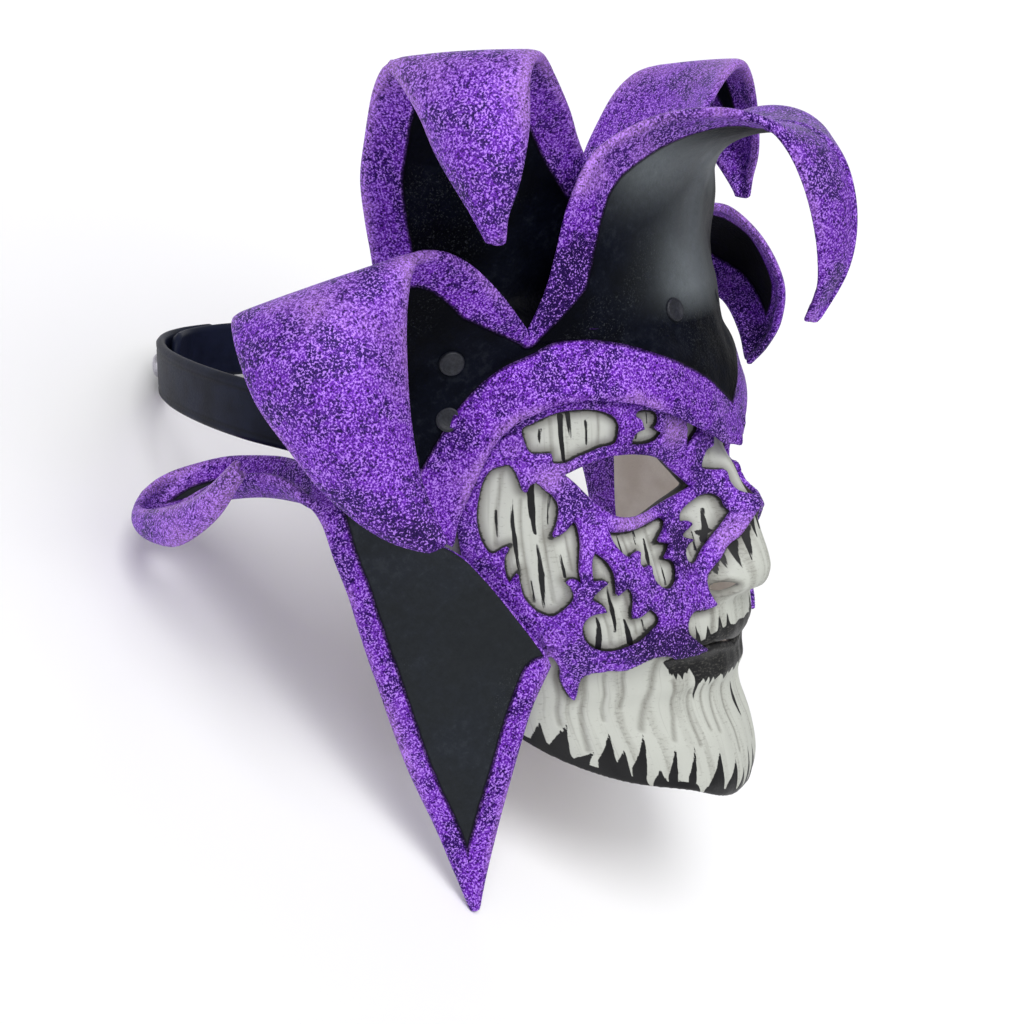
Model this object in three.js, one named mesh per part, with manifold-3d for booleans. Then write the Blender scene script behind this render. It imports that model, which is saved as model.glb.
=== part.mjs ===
// Leather jester mask: a bone white moulded face, torn openwork leather over it,
// a five-pointed jester's hat with curled points, two pointed jaw pieces and a head strap.
// Millimetres. The pieces are built as worn, from forward, rightward and upward distances
// measured from the middle of the wearer's head at eye level. The last section lays the
// finished mask down, as it rests on a table.

import * as THREE from 'three';
import { mergeVertices } from 'three/addons/utils/BufferGeometryUtils.js';
import Module from 'manifold-3d';

const wasm = await Module();
wasm.setup();

// Leather thicknesses and the gaps between layers
const FACE_THICK = 3;
const OVERLAY_THICK = 2;
const HAT_THICK = 3;
const STRAP_THICK = 3.2;
const GAP = 0.6;
const OVERLAY_GAP = 1;
const OVERLAY_OFF = OVERLAY_GAP + OVERLAY_THICK;
const HAT_OFF = OVERLAY_OFF + 1.4 + HAT_THICK;
const REAR_OFF = HAT_THICK - 1; // the rear leather starts above the face's top edge
const STRAP_OFF = GAP + STRAP_THICK;

// The face is a rounded shell. Round it, places are given as a sideways distance at this
// radius, and a height. Its sections are centred this far in front of the head's middle.
const WRAP_RADIUS = 75;
const MIDDLE_FORWARD = 15;

// Heights and edges of the face
const FACE_TOP = 45;
const CHIN_BOTTOM = -98.5;
const FACE_SIDE = 97;

// Strap
const STRAP_WIDTH = 19;

// Colours and finishes
const BLACK = { color: 0x0b0e1a, roughness: 0.5, metalness: 0 };
const PURPLE = { color: 0x6a3bb0, roughness: 0.45, metalness: 0.3 };
const BONE = { color: 0xb4b6ae, roughness: 0.55, metalness: 0 };
const NAVY = { color: 0x16181f, roughness: 0.5, metalness: 0 };
const SILVER = { color: 0xb8b8c0, roughness: 0.25, metalness: 1 };

const RIGHT = 1;
const LEFT = -1;

// Curves

// A smooth curve through stations, as a function of the station number. It bends sharply
// at the stations named as corners.
function through(stations, corners = []) {
  const last = stations.length - 1;
  const points = stations.map((p) => new THREE.Vector3(...p));
  const sharp = (k) => k === 0 || k === last || corners.includes(k);
  const slope = (k, from, to) => {
    const a = sharp(k) ? from : k - 1;
    const b = sharp(k) ? to : k + 1;
    return points[b].clone().sub(points[a]).divideScalar(b - a);
  };
  return (t) => {
    const k = Math.min(Math.max(Math.floor(t), 0), last - 1);
    const x = t - k;
    const [x2, x3] = [x ** 2, x ** 3];
    const blend = [2 * x3 - 3 * x2 + 1, x3 - 2 * x2 + x, 3 * x2 - 2 * x3, x3 - x2];
    return new THREE.Vector3()
      .addScaledVector(points[k], blend[0])
      .addScaledVector(slope(k, k, k + 1), blend[1])
      .addScaledVector(points[k + 1], blend[2])
      .addScaledVector(slope(k + 1, k, k + 1), blend[3]);
  };
}

// A smooth value that depends on one distance, from pairs of distance and value
function profile(pairs) {
  const last = pairs.length - 1;
  const slope = (k) => {
    const a = Math.max(k - 1, 0);
    const b = Math.min(k + 1, last);
    return (pairs[b][1] - pairs[a][1]) / (pairs[b][0] - pairs[a][0]);
  };
  return (distance) => {
    const d = Math.min(Math.max(distance, pairs[0][0]), pairs[last][0]);
    let k = 0;
    while (k < last - 1 && d > pairs[k + 1][0]) k += 1;
    const h = pairs[k + 1][0] - pairs[k][0];
    const x = (d - pairs[k][0]) / h;
    return (2 * x ** 3 - 3 * x ** 2 + 1) * pairs[k][1] + (x ** 3 - 2 * x ** 2 + x) * h * slope(k)
      + (3 * x ** 2 - 2 * x ** 3) * pairs[k + 1][1] + (x ** 3 - x ** 2) * h * slope(k + 1);
  };
}

// The face's form: how far forward its middle reaches, and its half width, at each height
const frontAt = profile([[-110, 108], [-98.5, 112], [-93, 115.5], [-85, 116.5], [-74, 114], [-65, 110],
  [-58.5, 108.5], [-53, 110], [-46, 109.5], [-40, 112], [-34, 112], [-28, 110.5], [-20, 106],
  [-8, 102.5], [4, 100.5], [20, 101.5], [35, 98.5], [52, 94], [60, 88], [70, 81], [80, 75], [90, 68]]);
const halfWidthAt = profile([[-110, 45], [-98, 50], [-80, 58.5], [-60, 66], [-40, 71], [-20, 75], [0, 77],
  [20, 77.5], [40, 75], [60, 70], [80, 61], [100, 45]]);
const noseHeightAt = profile([[-40, 0], [-30, 0], [-27.5, 2], [-24.5, 9.5], [-20, 14], [-15, 15.3],
  [-7, 15], [2, 13.8], [8, 9.9], [14, 5.9], [21, 0.6], [30, 0], [60, 0]]);
const noseWidthAt = profile([[-40, 14], [-28, 14], [-20, 13.5], [-10, 11], [0, 9], [10, 7.5], [21, 7]]);

// Soft swellings and hollows: sideways place, height, reach sideways, reach in height, rise
const SWELLINGS = [
  [13, -21, 5, 6, 3], // nostril wings
  [36, 13, 20, 13, -7], // eye sockets
  [55, -14, 18, 16, 4], // cheekbones
  [40, 34, 26, 8, 2], // brows
  [55, -52, 18, 14, -2], // hollows below the cheeks
];

// A point of the face's outer surface in forward, rightward and upward distances
function facePoint(side, up) {
  const angle = side / WRAP_RADIUS;
  const right = halfWidthAt(up) * Math.sin(angle);
  const nose = noseHeightAt(up) * Math.exp(-(Math.abs(right / noseWidthAt(up)) ** 2.2));
  const forward = MIDDLE_FORWARD + (frontAt(up) - MIDDLE_FORWARD) * Math.cos(angle) + nose;
  let rise = 0;
  for (const [place, height, wide, tall, size] of SWELLINGS) {
    rise += size * Math.exp(-(((Math.abs(side) - place) / wide) ** 2) - ((up - height) / tall) ** 2);
  }
  return new THREE.Vector3(forward + rise * Math.cos(angle), right + rise * Math.sin(angle), up);
}

// The direction straight out of the face
function faceNormal(side, up) {
  const step = 0.5;
  const across = facePoint(side + step, up).sub(facePoint(side - step, up));
  const along = facePoint(side, up + step).sub(facePoint(side, up - step));
  return along.cross(across).normalize().negate();
}

// A point that stands off the face by a distance
function onFace(side, up, off) {
  return facePoint(side, up).addScaledVector(faceNormal(side, up), off);
}

// From forward, rightward and upward to the worn frame: X to the wearer's left, Y back, Z up
function worn(p) {
  return new THREE.Vector3(-p.y, -p.x, p.z);
}

// Solids

// A closed geometry from points and triangles, turned so that its faces point out
function closedGeometry(points, triangles) {
  let volume = 0;
  for (const [a, b, c] of triangles) {
    volume += points[a].dot(new THREE.Vector3().crossVectors(points[b], points[c]));
  }
  const index = volume > 0 ? triangles.flat() : triangles.map(([a, b, c]) => [a, c, b]).flat();
  const geometry = new THREE.BufferGeometry();
  const numbers = points.flatMap((p) => [p.x, p.y, p.z]);
  geometry.setAttribute('position', new THREE.Float32BufferAttribute(numbers, 3));
  geometry.setIndex(index);
  return geometry;
}

// A solid of even thickness below one or more grids of points. Grids that share an edge
// are joined there. The points are the outer side: at the anchor, given as a row and a
// column of the first grid, it faces away from the head's middle.
const WELD_STEPS = 50; // points are the same when they agree to a fiftieth of a millimetre
const WELD_SHIFT = 0.123; // keeps values that are exactly halfway from rounding either way
function sheet(grids, thickness, anchor = [0, 2]) {
  const points = [];
  let triangles = [];
  const known = new Map();
  const weld = (p) => {
    const key = [p.x, p.y, p.z].map((value) => Math.round(value * WELD_STEPS + WELD_SHIFT)).join();
    if (!known.has(key)) {
      known.set(key, points.length);
      points.push(p);
    }
    return known.get(key);
  };
  for (const grid of grids) {
    const ids = grid.map((row) => row.map(weld));
    for (let i = 0; i + 1 < ids.length; i += 1) {
      for (let j = 0; j + 1 < ids[i].length; j += 1) {
        const [a, b, c, d] = [ids[i][j], ids[i][j + 1], ids[i + 1][j + 1], ids[i + 1][j]];
        const shorter = points[a].distanceTo(points[c]) < points[b].distanceTo(points[d]);
        const pair = shorter ? [[a, b, c], [a, c, d]] : [[a, b, d], [b, c, d]];
        triangles.push(...pair.filter((t) => new Set(t).size === 3));
      }
    }
  }
  const normals = points.map(() => new THREE.Vector3());
  for (const t of triangles) {
    const [a, b, c] = t.map((k) => points[k]);
    const area = new THREE.Vector3().crossVectors(b.clone().sub(a), c.clone().sub(a));
    t.forEach((k) => normals[k].add(area));
  }
  const held = weld(grids[0][anchor[0]][anchor[1]]);
  if (normals[held].dot(points[held]) < 0) {
    triangles = triangles.map(([a, b, c]) => [a, c, b]);
    normals.forEach((normal) => normal.negate());
  }
  const inner = points.map((p, k) => p.clone().addScaledVector(normals[k].normalize(), -thickness));
  const count = points.length;
  const edges = new Set(triangles.flatMap(([a, b, c]) => [`${a},${b}`, `${b},${c}`, `${c},${a}`]));
  const all = [...triangles, ...triangles.map(([a, b, c]) => [a + count, c + count, b + count])];
  for (const edge of edges) {
    const [a, b] = edge.split(',').map(Number);
    if (!edges.has(`${b},${a}`)) all.push([b, a, a + count], [b, a + count, b + count]);
  }
  return closedGeometry([...points, ...inner], all);
}

function toSolid(geometry) {
  return new wasm.Manifold(new wasm.Mesh({
    numProp: 3,
    vertProperties: new Float32Array(geometry.attributes.position.array),
    triVerts: new Uint32Array(geometry.index.array),
  }));
}

function toGeometry(solid) {
  const mesh = solid.getMesh();
  const geometry = new THREE.BufferGeometry();
  geometry.setAttribute('position', new THREE.Float32BufferAttribute(mesh.vertProperties, mesh.numProp));
  geometry.setIndex(Array.from(mesh.triVerts));
  return geometry;
}

function without(solid, cutters) {
  return cutters.reduce((rest, cutter) => rest.subtract(cutter), solid);
}

// A straight block with a flat outline, from one height to another
function block(outline, low, high) {
  const flat = THREE.ShapeUtils.area(outline) > 0 ? outline : [...outline].reverse();
  const count = flat.length;
  const points = [low, high].flatMap((height) => flat.map((p) => new THREE.Vector3(p.x, p.y, height)));
  const caps = THREE.ShapeUtils.triangulateShape(flat, []);
  const triangles = [...caps.map(([a, b, c]) => [a, c, b]), ...caps.map((t) => t.map((k) => k + count))];
  flat.forEach((_, k) => {
    const next = (k + 1) % count;
    triangles.push([k, next, next + count], [k, next + count, k + count]);
  });
  return closedGeometry(points, triangles);
}

// Moulded sheets that lie on the face

// The grid lines of both sheets. They share the columns, and the overlay's rows are some of
// the face's rows, so that their facets run side by side.
const COLUMNS = [0, 5, 11, 18, 28, 42, 58, 77, FACE_SIDE];
const FACE_ROWS = [FACE_TOP, 31, 18, 8, -4, -17, -23.5, -28, -34, -40, -44.5, -49, -58, -68, -80, -90,
  CHIN_BOTTOM];
const OVERLAY_ROWS = [FACE_TOP, 31, 18, 8, -4, -17, -28, -40, -58];
const faceBottomAt = profile([[0, CHIN_BOTTOM], [20, -95], [37, -89.5], [56, -85], [67, -80.5], [76, -75],
  [83.5, -68], [92, -56], [98, -44]]);

// The height of a grid row at a sideways place: rows close up where the jaw line rises
function rowHeight(row, side) {
  const share = (FACE_TOP - faceBottomAt(Math.abs(side))) / (FACE_TOP - CHIN_BOTTOM);
  return FACE_TOP - (FACE_TOP - row) * share;
}

// A sheet between two stand-off distances. It is shaped flat, then wrapped round the face.
// While it is flat, a slight bow keeps every grid point in place.
const BOW_RADIUS = 100;
const bow = (side, up) => (side ** 2 + up ** 2) / (2 * BOW_RADIUS);
const STAMP_MARGIN = 10;
const TALL = bow(FACE_SIDE, CHIN_BOTTOM) + STAMP_MARGIN;
const stamp = (outline) => toSolid(block(outline, -TALL, TALL));

function mouldedSheet(low, high, rows, shape) {
  const sides = [...COLUMNS.slice(1).reverse().map((side) => -side), ...COLUMNS];
  const layer = (off) => rows.map((row) => sides.map((side) => {
    const up = rowHeight(row, side);
    return new THREE.Vector3(side, up, off + bow(side, up));
  }));
  const geometry = toGeometry(shape(toSolid(slab(layer(high), layer(low)))));
  const position = geometry.attributes.position;
  for (let k = 0; k < position.count; k += 1) {
    const [side, up, height] = [position.getX(k), position.getY(k), position.getZ(k)];
    const p = worn(onFace(side, up, height - bow(side, up)));
    position.setXYZ(k, p.x, p.y, p.z);
  }
  return facingOut(geometry);
}

// A closed slab between two grids of points of the same size
function slab(top, bottom) {
  const [rows, columns] = [top.length, top[0].length];
  const count = rows * columns;
  const id = (i, j) => i * columns + j;
  const triangles = [];
  for (let i = 0; i + 1 < rows; i += 1) {
    for (let j = 0; j + 1 < columns; j += 1) {
      const [a, b, c, d] = [id(i, j), id(i, j + 1), id(i + 1, j + 1), id(i + 1, j)];
      triangles.push([a, b, c], [a, c, d], [a + count, c + count, b + count],
        [a + count, d + count, c + count]);
    }
  }
  const rim = [];
  for (let j = 0; j + 1 < columns; j += 1) rim.push(id(0, j));
  for (let i = 0; i + 1 < rows; i += 1) rim.push(id(i, columns - 1));
  for (let j = columns - 1; j > 0; j -= 1) rim.push(id(rows - 1, j));
  for (let i = rows - 1; i > 0; i -= 1) rim.push(id(i, 0));
  rim.forEach((a, k) => {
    const b = rim[(k + 1) % rim.length];
    triangles.push([b, a, a + count], [b, a + count, b + count]);
  });
  return closedGeometry([...top.flat(), ...bottom.flat()], triangles);
}

// The same closed geometry, turned so that its faces point out
function facingOut(geometry) {
  const position = geometry.attributes.position;
  const point = (_, k) => new THREE.Vector3().fromBufferAttribute(position, k);
  const points = Array.from({ length: position.count }, point);
  const triangles = [];
  for (let k = 0; k < geometry.index.count; k += 3) {
    triangles.push([0, 1, 2].map((j) => geometry.index.getX(k + j)));
  }
  return closedGeometry(points, triangles);
}

const mirrored = (outline) => outline.map((p) => new THREE.Vector2(-p.x, p.y));
const stampBoth = (outline) => stamp(outline).add(stamp(mirrored(outline)));

// Openings, as flat outlines in sideways distance and height

const ELLIPSE_SIDES = 7;
// An ellipse's polygon is drawn a little larger, so that it has the ellipse's area
const SAME_AREA = Math.sqrt((2 * Math.PI) / ELLIPSE_SIDES / Math.sin((2 * Math.PI) / ELLIPSE_SIDES));

function ellipse(side, up, halfWide, halfTall, tilt = 0) {
  const [wide, tall] = [halfWide * SAME_AREA, halfTall * SAME_AREA];
  const turn = THREE.MathUtils.degToRad(tilt);
  const curve = new THREE.EllipseCurve(side, up, wide, tall, 0, 2 * Math.PI, false, turn);
  return curve.getPoints(ELLIPSE_SIDES).slice(0, -1);
}

// A pointed tongue of leather, or a tear, from its tip to the middle of its root
function fang(tipSide, tipUp, rootSide, rootUp, width) {
  const tip = new THREE.Vector2(tipSide, tipUp);
  const root = new THREE.Vector2(rootSide, rootUp);
  const across = root.clone().sub(tip).rotateAround(new THREE.Vector2(), Math.PI / 2).setLength(width / 2);
  return [tip, root.clone().add(across), root.clone().sub(across)];
}

const EYE_CORNERS = { outer: [63.3, 19.5, 0], inner: [15.4, 9.3, 0] };
const EYE_LIDS = {
  upper: [EYE_CORNERS.outer, [50, 24.2, 0], [36, 23.3, 0], [24.5, 17, 0], EYE_CORNERS.inner],
  lower: [EYE_CORNERS.inner, [27, 5.4, 0], [42, 2.6, 0], [53, 8.8, 0], EYE_CORNERS.outer],
};
const lidPoints = (stations) => {
  const curve = through(stations);
  return [0, 0.6, 1.2, 2, 2.8, 3.4].map((t) => new THREE.Vector2(curve(t).x, curve(t).y));
};
const EYE = [...lidPoints(EYE_LIDS.upper), ...lidPoints(EYE_LIDS.lower)];

// The mouth is a thin slit between the lips
const SLIT_HALF_LENGTH = 40;
const SLIT_HEIGHT = 1.8;
const slitMiddleAt = profile([[0, -45], [6, -44], [12, -42.6], [20, -41.7], [30, -41.6], [42, -42.6]]);
const slitMiddle = (side) => slitMiddleAt(Math.abs(side));
const SLIT_PLACES = [-30, -20, -10, 0, 10, 20, 30];
const SLIT = [
  new THREE.Vector2(-SLIT_HALF_LENGTH, slitMiddle(SLIT_HALF_LENGTH)),
  ...SLIT_PLACES.map((side) => new THREE.Vector2(side, slitMiddle(side) - SLIT_HEIGHT / 2)),
  new THREE.Vector2(SLIT_HALF_LENGTH, slitMiddle(SLIT_HALF_LENGTH)),
  ...[...SLIT_PLACES].reverse().map((side) => new THREE.Vector2(side, slitMiddle(side) + SLIT_HEIGHT / 2)),
];
const NOSTRIL = ellipse(15.2, -22.5, 3.6, 2);

// Torn openings of the overlay: rounded lobes joined, less the fangs of leather between them
const TORN = [
  { // cheek, tall
    lobes: [[83, 9, 4.6, 13.5, 5], [75, -1, 6, 22.5, -6], [69, 8, 4.8, 9.2, 0], [64.8, -6.8, 6.4, 11, 0],
      [79.8, -6.2, 3.7, 6.5, 0]],
    fangs: [[74, 13.5, 73, 22, 4], [67.6, -0.5, 59.5, 9, 7], [66, -13, 59.5, -17, 4],
      [76.5, -11, 79, -22, 5], [78, -1.5, 84, -10, 5]],
  },
  { // cheek, low
    lobes: [[54.5, -29.3, 10.5, 6.6, -8], [56.3, -11, 3.3, 7, 0], [53.5, -19.5, 5.5, 6, 0]],
    fangs: [[51.3, -25.6, 45, -18.5, 5], [57.4, -22.6, 66, -20, 4], [55.6, -14.3, 61.5, -17, 3.5]],
  },
  { // below the eye
    lobes: [[44.8, -3.8, 7.2, 3.8, 0], [37, -9.5, 5.2, 9.5, 0], [34, -1, 4, 2.6, 0]],
    fangs: [[36, -5, 28.5, -4.2, 3.5], [35.2, -10.5, 29, -10.5, 2.5], [43.6, -5.6, 46.5, -12.5, 3.5]],
  },
  { // beside the nose
    lobes: [[15.5, 1, 8.2, 4.6, 12], [21.5, -6.5, 5.6, 5.6, 0], [15.5, -3.5, 5.5, 3, -30]],
    fangs: [[19.5, -2.5, 28, -1.8, 3], [22.5, -6.3, 30, -8.5, 2.6]],
  },
  { // brow
    lobes: [[55, 32.6, 6.2, 6, 0], [63.5, 31, 8, 7.2, -12], [70.8, 31.2, 4.8, 3.9, 0]],
    fangs: [[68, 27.5, 72, 22.5, 4]],
  },
  { // between the brows, two small ones
    lobes: [[40, 34.8, 3.8, 2.9, 0], [39.5, 29.8, 4, 2.8, 0]],
    fangs: [[41.8, 32.3, 46, 32.3, 2]],
  },
  { lobes: [[19.5, 27.5, 2.6, 6, 38]], fangs: [[18.6, 28, 23.5, 24.5, 1.6]] },
  { lobes: [[9.2, 18.2, 2.2, 5, 35]], fangs: [] },
];

// The overlay ends along this line, from the bridge of the nose round to the jaw piece
const OVERLAY_EDGE = [[0, 0.5], [5, -4], [13.5, -12.5], [20.5, -18], [21.5, -26], [26, -28], [31, -28],
  [35, -31],
  [33.5, -36], [28.5, -39.4], [36, -41.2], [43, -41.2], [45.5, -38.8], [52, -40.3], [58, -42], [64, -42.2],
  [68, -52.5], [71.5, -43.5], [74, -38], [82, -28]];
// Its upper and rear edges are hidden below the hat's brow band and the jaw piece
const OVERLAY_HIDDEN = [[90, -6], [89, 12], [85, 29], [74, 41], [58, 45], [36, 42], [20, 36], [0, 27]];

function tornOpening({ lobes, fangs }) {
  const whole = lobes.map((lobe) => stampBoth(ellipse(...lobe))).reduce((sum, next) => sum.add(next));
  return without(whole, fangs.map((one) => stampBoth(fang(...one))));
}

function overlayOutline() {
  const flat = (pairs) => pairs.map(([side, up]) => new THREE.Vector2(side, up));
  const overlap = flat([[-1, OVERLAY_HIDDEN.at(-1)[1]], [-1, OVERLAY_EDGE[0][1]]]);
  return stampBoth([...flat(OVERLAY_EDGE), ...flat(OVERLAY_HIDDEN), ...overlap]);
}

// Rivets, studs and the strap's snap. Each has a cap outside, a stem through the leather and
// a washer inside. It aims at a place, straight in, and goes through the pieces it joins.
const STEM_RADIUS = 1.2;
const HOLE_RADIUS = 1.8;
const CAP_GAP = 1;
const WASHER_GAP = 1.3;
const HOLE_OVERRUN = 2;
const MERGE_DISTANCE = 0.01;
const WASHER = { radius: 2.4, thick: 0.8 };
const FLUSH_CAP = { radius: 3.8, shoulder: 3.2, height: 0.9 };
const RIVET_SIDES = 6;
const SMALL_CAP = { radius: 2.6, shoulder: 2.1, height: 0.8 };
const DOMED_CAP = { radius: 2.9, shoulder: 1.6, height: 2 };
const SNAP_CAP = { radius: 4.4, shoulder: 3.2, height: 1.4 };
const onChart = (side, up) => ({ aim: facePoint(side, up), facing: faceNormal(side, up) });
// The crown rivet is higher, where the side point has left the head
const CROWN = { aim: new THREE.Vector3(45.5, 77, 54.3), facing: new THREE.Vector3(0.4, 0.9, 0) };
const HAT_LAYERS = ['hat_front', 'hat_rear'];
const FACE_LAYERS = ['overlay', 'face'];
const STRAP_LAYERS = ['hat_front', 'strap'];
const TEMPLE_LAYERS = ['hat_front', 'face'];
const RIVETS = [
  { name: 'front_rivet', ...onChart(19, 60), joins: HAT_LAYERS, cap: FLUSH_CAP, finish: BLACK },
  { name: 'crown_rivet', ...CROWN, joins: HAT_LAYERS, cap: FLUSH_CAP, finish: BLACK },
  { name: 'temple_rivet', ...onChart(92.5, 36), joins: TEMPLE_LAYERS, cap: FLUSH_CAP, finish: BLACK },
  { name: 'strap_rivet', ...onChart(101.5, 17.4), joins: STRAP_LAYERS, cap: SMALL_CAP, finish: BLACK },
  { name: 'strap_stud', ...onChart(102, 24.2), joins: STRAP_LAYERS, cap: DOMED_CAP, finish: SILVER },
  { name: 'brow_rivet', ...onChart(77, 28.5), joins: FACE_LAYERS, cap: FLUSH_CAP, finish: PURPLE },
  { name: 'cheek_rivet', ...onChart(71.5, -29.5), joins: FACE_LAYERS, cap: FLUSH_CAP, finish: PURPLE },
];
const SNAP = {
  aim: new THREE.Vector3(-102, 17.6, 34.6),
  facing: new THREE.Vector3(-0.97, 0.25, 0),
  joins: ['strap_right', 'strap_left'],
  cap: SNAP_CAP,
};

const REACH = 13;
const ANY_SIDE = new THREE.MeshBasicMaterial({ side: THREE.DoubleSide });

// Where a straight line into the leather meets it, from the outermost surface inwards. It
// starts a little way out from a point.
function crossings(point, facing, out, names) {
  const start = point.clone().addScaledVector(facing, out);
  const ray = new THREE.Raycaster(start, facing.clone().negate(), 0, out + REACH);
  const meshes = names.map((name) => new THREE.Mesh(leather[name], ANY_SIDE));
  return ray.intersectObjects(meshes, false);
}

// A rivet's place, square to the leather, and the depth of leather that it goes through
function seat({ aim, facing, joins }, word, hand) {
  const mirror = new THREE.Vector3(hand, 1, 1);
  const names = joins.map((name) => (name === 'strap' ? `strap_${word}` : name));
  const rough = worn(facing).normalize().multiply(mirror);
  const first = crossings(worn(aim).multiply(mirror), rough, REACH, names)[0];
  const square = first.face.normal.clone();
  const hits = crossings(first.point, square, 1, names);
  const turn = new THREE.Quaternion().setFromUnitVectors(new THREE.Vector3(0, 0, 1), square);
  return {
    names,
    frame: new THREE.Matrix4().compose(hits[0].point, turn, new THREE.Vector3(1, 1, 1)),
    depth: hits.at(-1).distance - hits[0].distance,
  };
}

function rivetGeometry(cap, { frame, depth }) {
  const tail = -depth - WASHER_GAP;
  const outline = [
    [0, tail - WASHER.thick], [WASHER.radius, tail], [STEM_RADIUS, tail],
    [STEM_RADIUS, CAP_GAP], [cap.radius, CAP_GAP], [cap.shoulder, CAP_GAP + cap.height],
    [0, CAP_GAP + cap.height],
  ];
  const lathe = new THREE.LatheGeometry(outline.map(([x, y]) => new THREE.Vector2(x, y)), RIVET_SIDES);
  lathe.deleteAttribute('normal');
  lathe.deleteAttribute('uv');
  lathe.rotateX(Math.PI / 2);
  return toGeometry(toSolid(mergeVertices(lathe, MERGE_DISTANCE).applyMatrix4(frame)));
}

// Cuts the hole that a stem needs, through every piece that the rivet joins
function drill({ names, frame, depth }) {
  const circle = Array.from({ length: RIVET_SIDES }, (_, k) => {
    const angle = (k * 2 * Math.PI) / RIVET_SIDES;
    return new THREE.Vector2(HOLE_RADIUS * Math.cos(angle), HOLE_RADIUS * Math.sin(angle));
  });
  const hole = toSolid(block(circle, -depth - HOLE_OVERRUN, HOLE_OVERRUN).applyMatrix4(frame));
  for (const name of names) leather[name] = toGeometry(toSolid(leather[name]).subtract(hole));
}

// Curled sheets. A point of the hat or a jaw piece is spanned between two edges and bulges
// along a spine between them. Its stations run from the root to the tip, each in forward,
// rightward and upward distances. A root lies on the head up to the first station, and the
// leather leaves it smoothly up to the next one.
const ROOT_TOP = 1;
const ROOT_LEFT = 2;

// Rows of points, from one edge (share 1) to the other (share -1)
function curl({ near, spine, far, corners = [] }, stations, columns, root = null) {
  const [edge, middle, other] = [through(near, corners), through(spine), through(far, corners)];
  const free = (share, t) => {
    const [a, m, b] = [edge(t), middle(t), other(t)];
    const bulge = a.clone().add(b).divideScalar(2).sub(m);
    return m.addScaledVector(a.sub(b), share / 2).addScaledVector(bulge, share ** 2);
  };
  const place = (share, t) => {
    if (!root || t >= ROOT_LEFT) return free(share, t);
    if (t <= ROOT_TOP) return root(share, t);
    const step = root(share, ROOT_TOP).sub(free(share, ROOT_TOP));
    return free(share, t).addScaledVector(step, 1 - THREE.MathUtils.smoothstep(t, ROOT_TOP, ROOT_LEFT));
  };
  const shares = Array.from({ length: columns + 1 }, (_, k) => 1 - (2 * k) / columns);
  return stations.map((t) => shares.map((share) => worn(place(share, t))));
}

// A grid made for the right, on either side. Its rows then run from the wearer's right to
// the left on both, so that grids can be joined.
const handed = (grid, hand) => grid.map((row) => {
  const placed = row.map((p) => new THREE.Vector3(p.x * hand, p.y, p.z));
  return hand === RIGHT ? placed.reverse() : placed;
});

// Station numbers from first to last, with the given number of steps between stations
function steps(first, last, perStation) {
  const count = Math.round((last - first) * perStation);
  return Array.from({ length: count + 1 }, (_, k) => first + (k * (last - first)) / count);
}

// The lower edge of the hat's brow band: it dips to a point over the nose
const BAND_WIDTH = 15;
const bandEdgeAt = profile([[0, 17.5], [13, 27], [24.5, 32.5], [36.5, 37], [46, 39.5], [58, 41],
  [66, 40], [74, 36.5]]);
const NOTCH_SIDE = 70;
// From the notch to the band's end, the band's edge turns down the temple
const TEMPLE_EDGE = through([[92.5, 0, 0], [91, 8, 0], [88, 16.5, 0], [84.5, 25, 0], [80.5, 31.5, 0],
  [75.5, 36, 0],
  [NOTCH_SIDE, bandEdgeAt(NOTCH_SIDE), 0]]);
const TEMPLE_STATIONS = 6;

// The notch between the middle point and the side point
const NOTCH = [65, 65.8, 60.8];
const onHat = (side, up) => onFace(side, up, HAT_OFF).toArray();
const NOTCH_EDGE = bandEdgeAt(NOTCH_SIDE);
const NOTCH_RIB = [onHat(NOTCH_SIDE, NOTCH_EDGE), onHat(NOTCH_SIDE, NOTCH_EDGE + BAND_WIDTH), NOTCH];

function middleRoot(share, t) {
  const side = share * NOTCH_SIDE;
  return onFace(side, bandEdgeAt(Math.abs(side)) + BAND_WIDTH * t, HAT_OFF);
}

function templeRoot(share, t) {
  const low = TEMPLE_EDGE(((share + 1) / 2) * TEMPLE_STATIONS);
  const lean = THREE.MathUtils.degToRad(45 + 22.5 * (share + 1));
  return onFace(low.x + BAND_WIDTH * t * Math.cos(lean), low.y + BAND_WIDTH * t * Math.sin(lean), HAT_OFF);
}

const mirrorList = (list) => list.map(([forward, right, up]) => [forward, -right, up]);

// The middle point rises, curls forward over the brow and hangs down in front
const MIDDLE_EDGE = [...NOTCH_RIB, [70.3, 64, 73.2], [72.6, 61, 84.5], [76.4, 60.6, 99], [80.1, 52, 112.5],
  [91.6, 42, 121], [103.9, 34, 123.8], [115.5, 28, 122.8], [124, 23, 118], [130.5, 19, 106.8],
  [134.6, 15, 91],
  [134.6, 9, 75.4], [129.3, 2, 63.3]];
const MIDDLE_POINT = {
  near: MIDDLE_EDGE,
  spine: [onHat(0, 17.5), onHat(0, 32.5), [98.4, 0, 58], [94.6, 0, 69], [92.2, 0, 79.5], [91, 0, 90],
    [92, 0, 101],
    [95.8, 0, 110.5], [104, 0, 116.5], [116, 0, 118.5], [127.5, 0, 116.5], [136, 0, 108], [139.7, 0, 94],
    [138, 0, 79],
    [129.7, 0, 63]],
  far: mirrorList(MIDDLE_EDGE),
  corners: [2],
};

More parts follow.
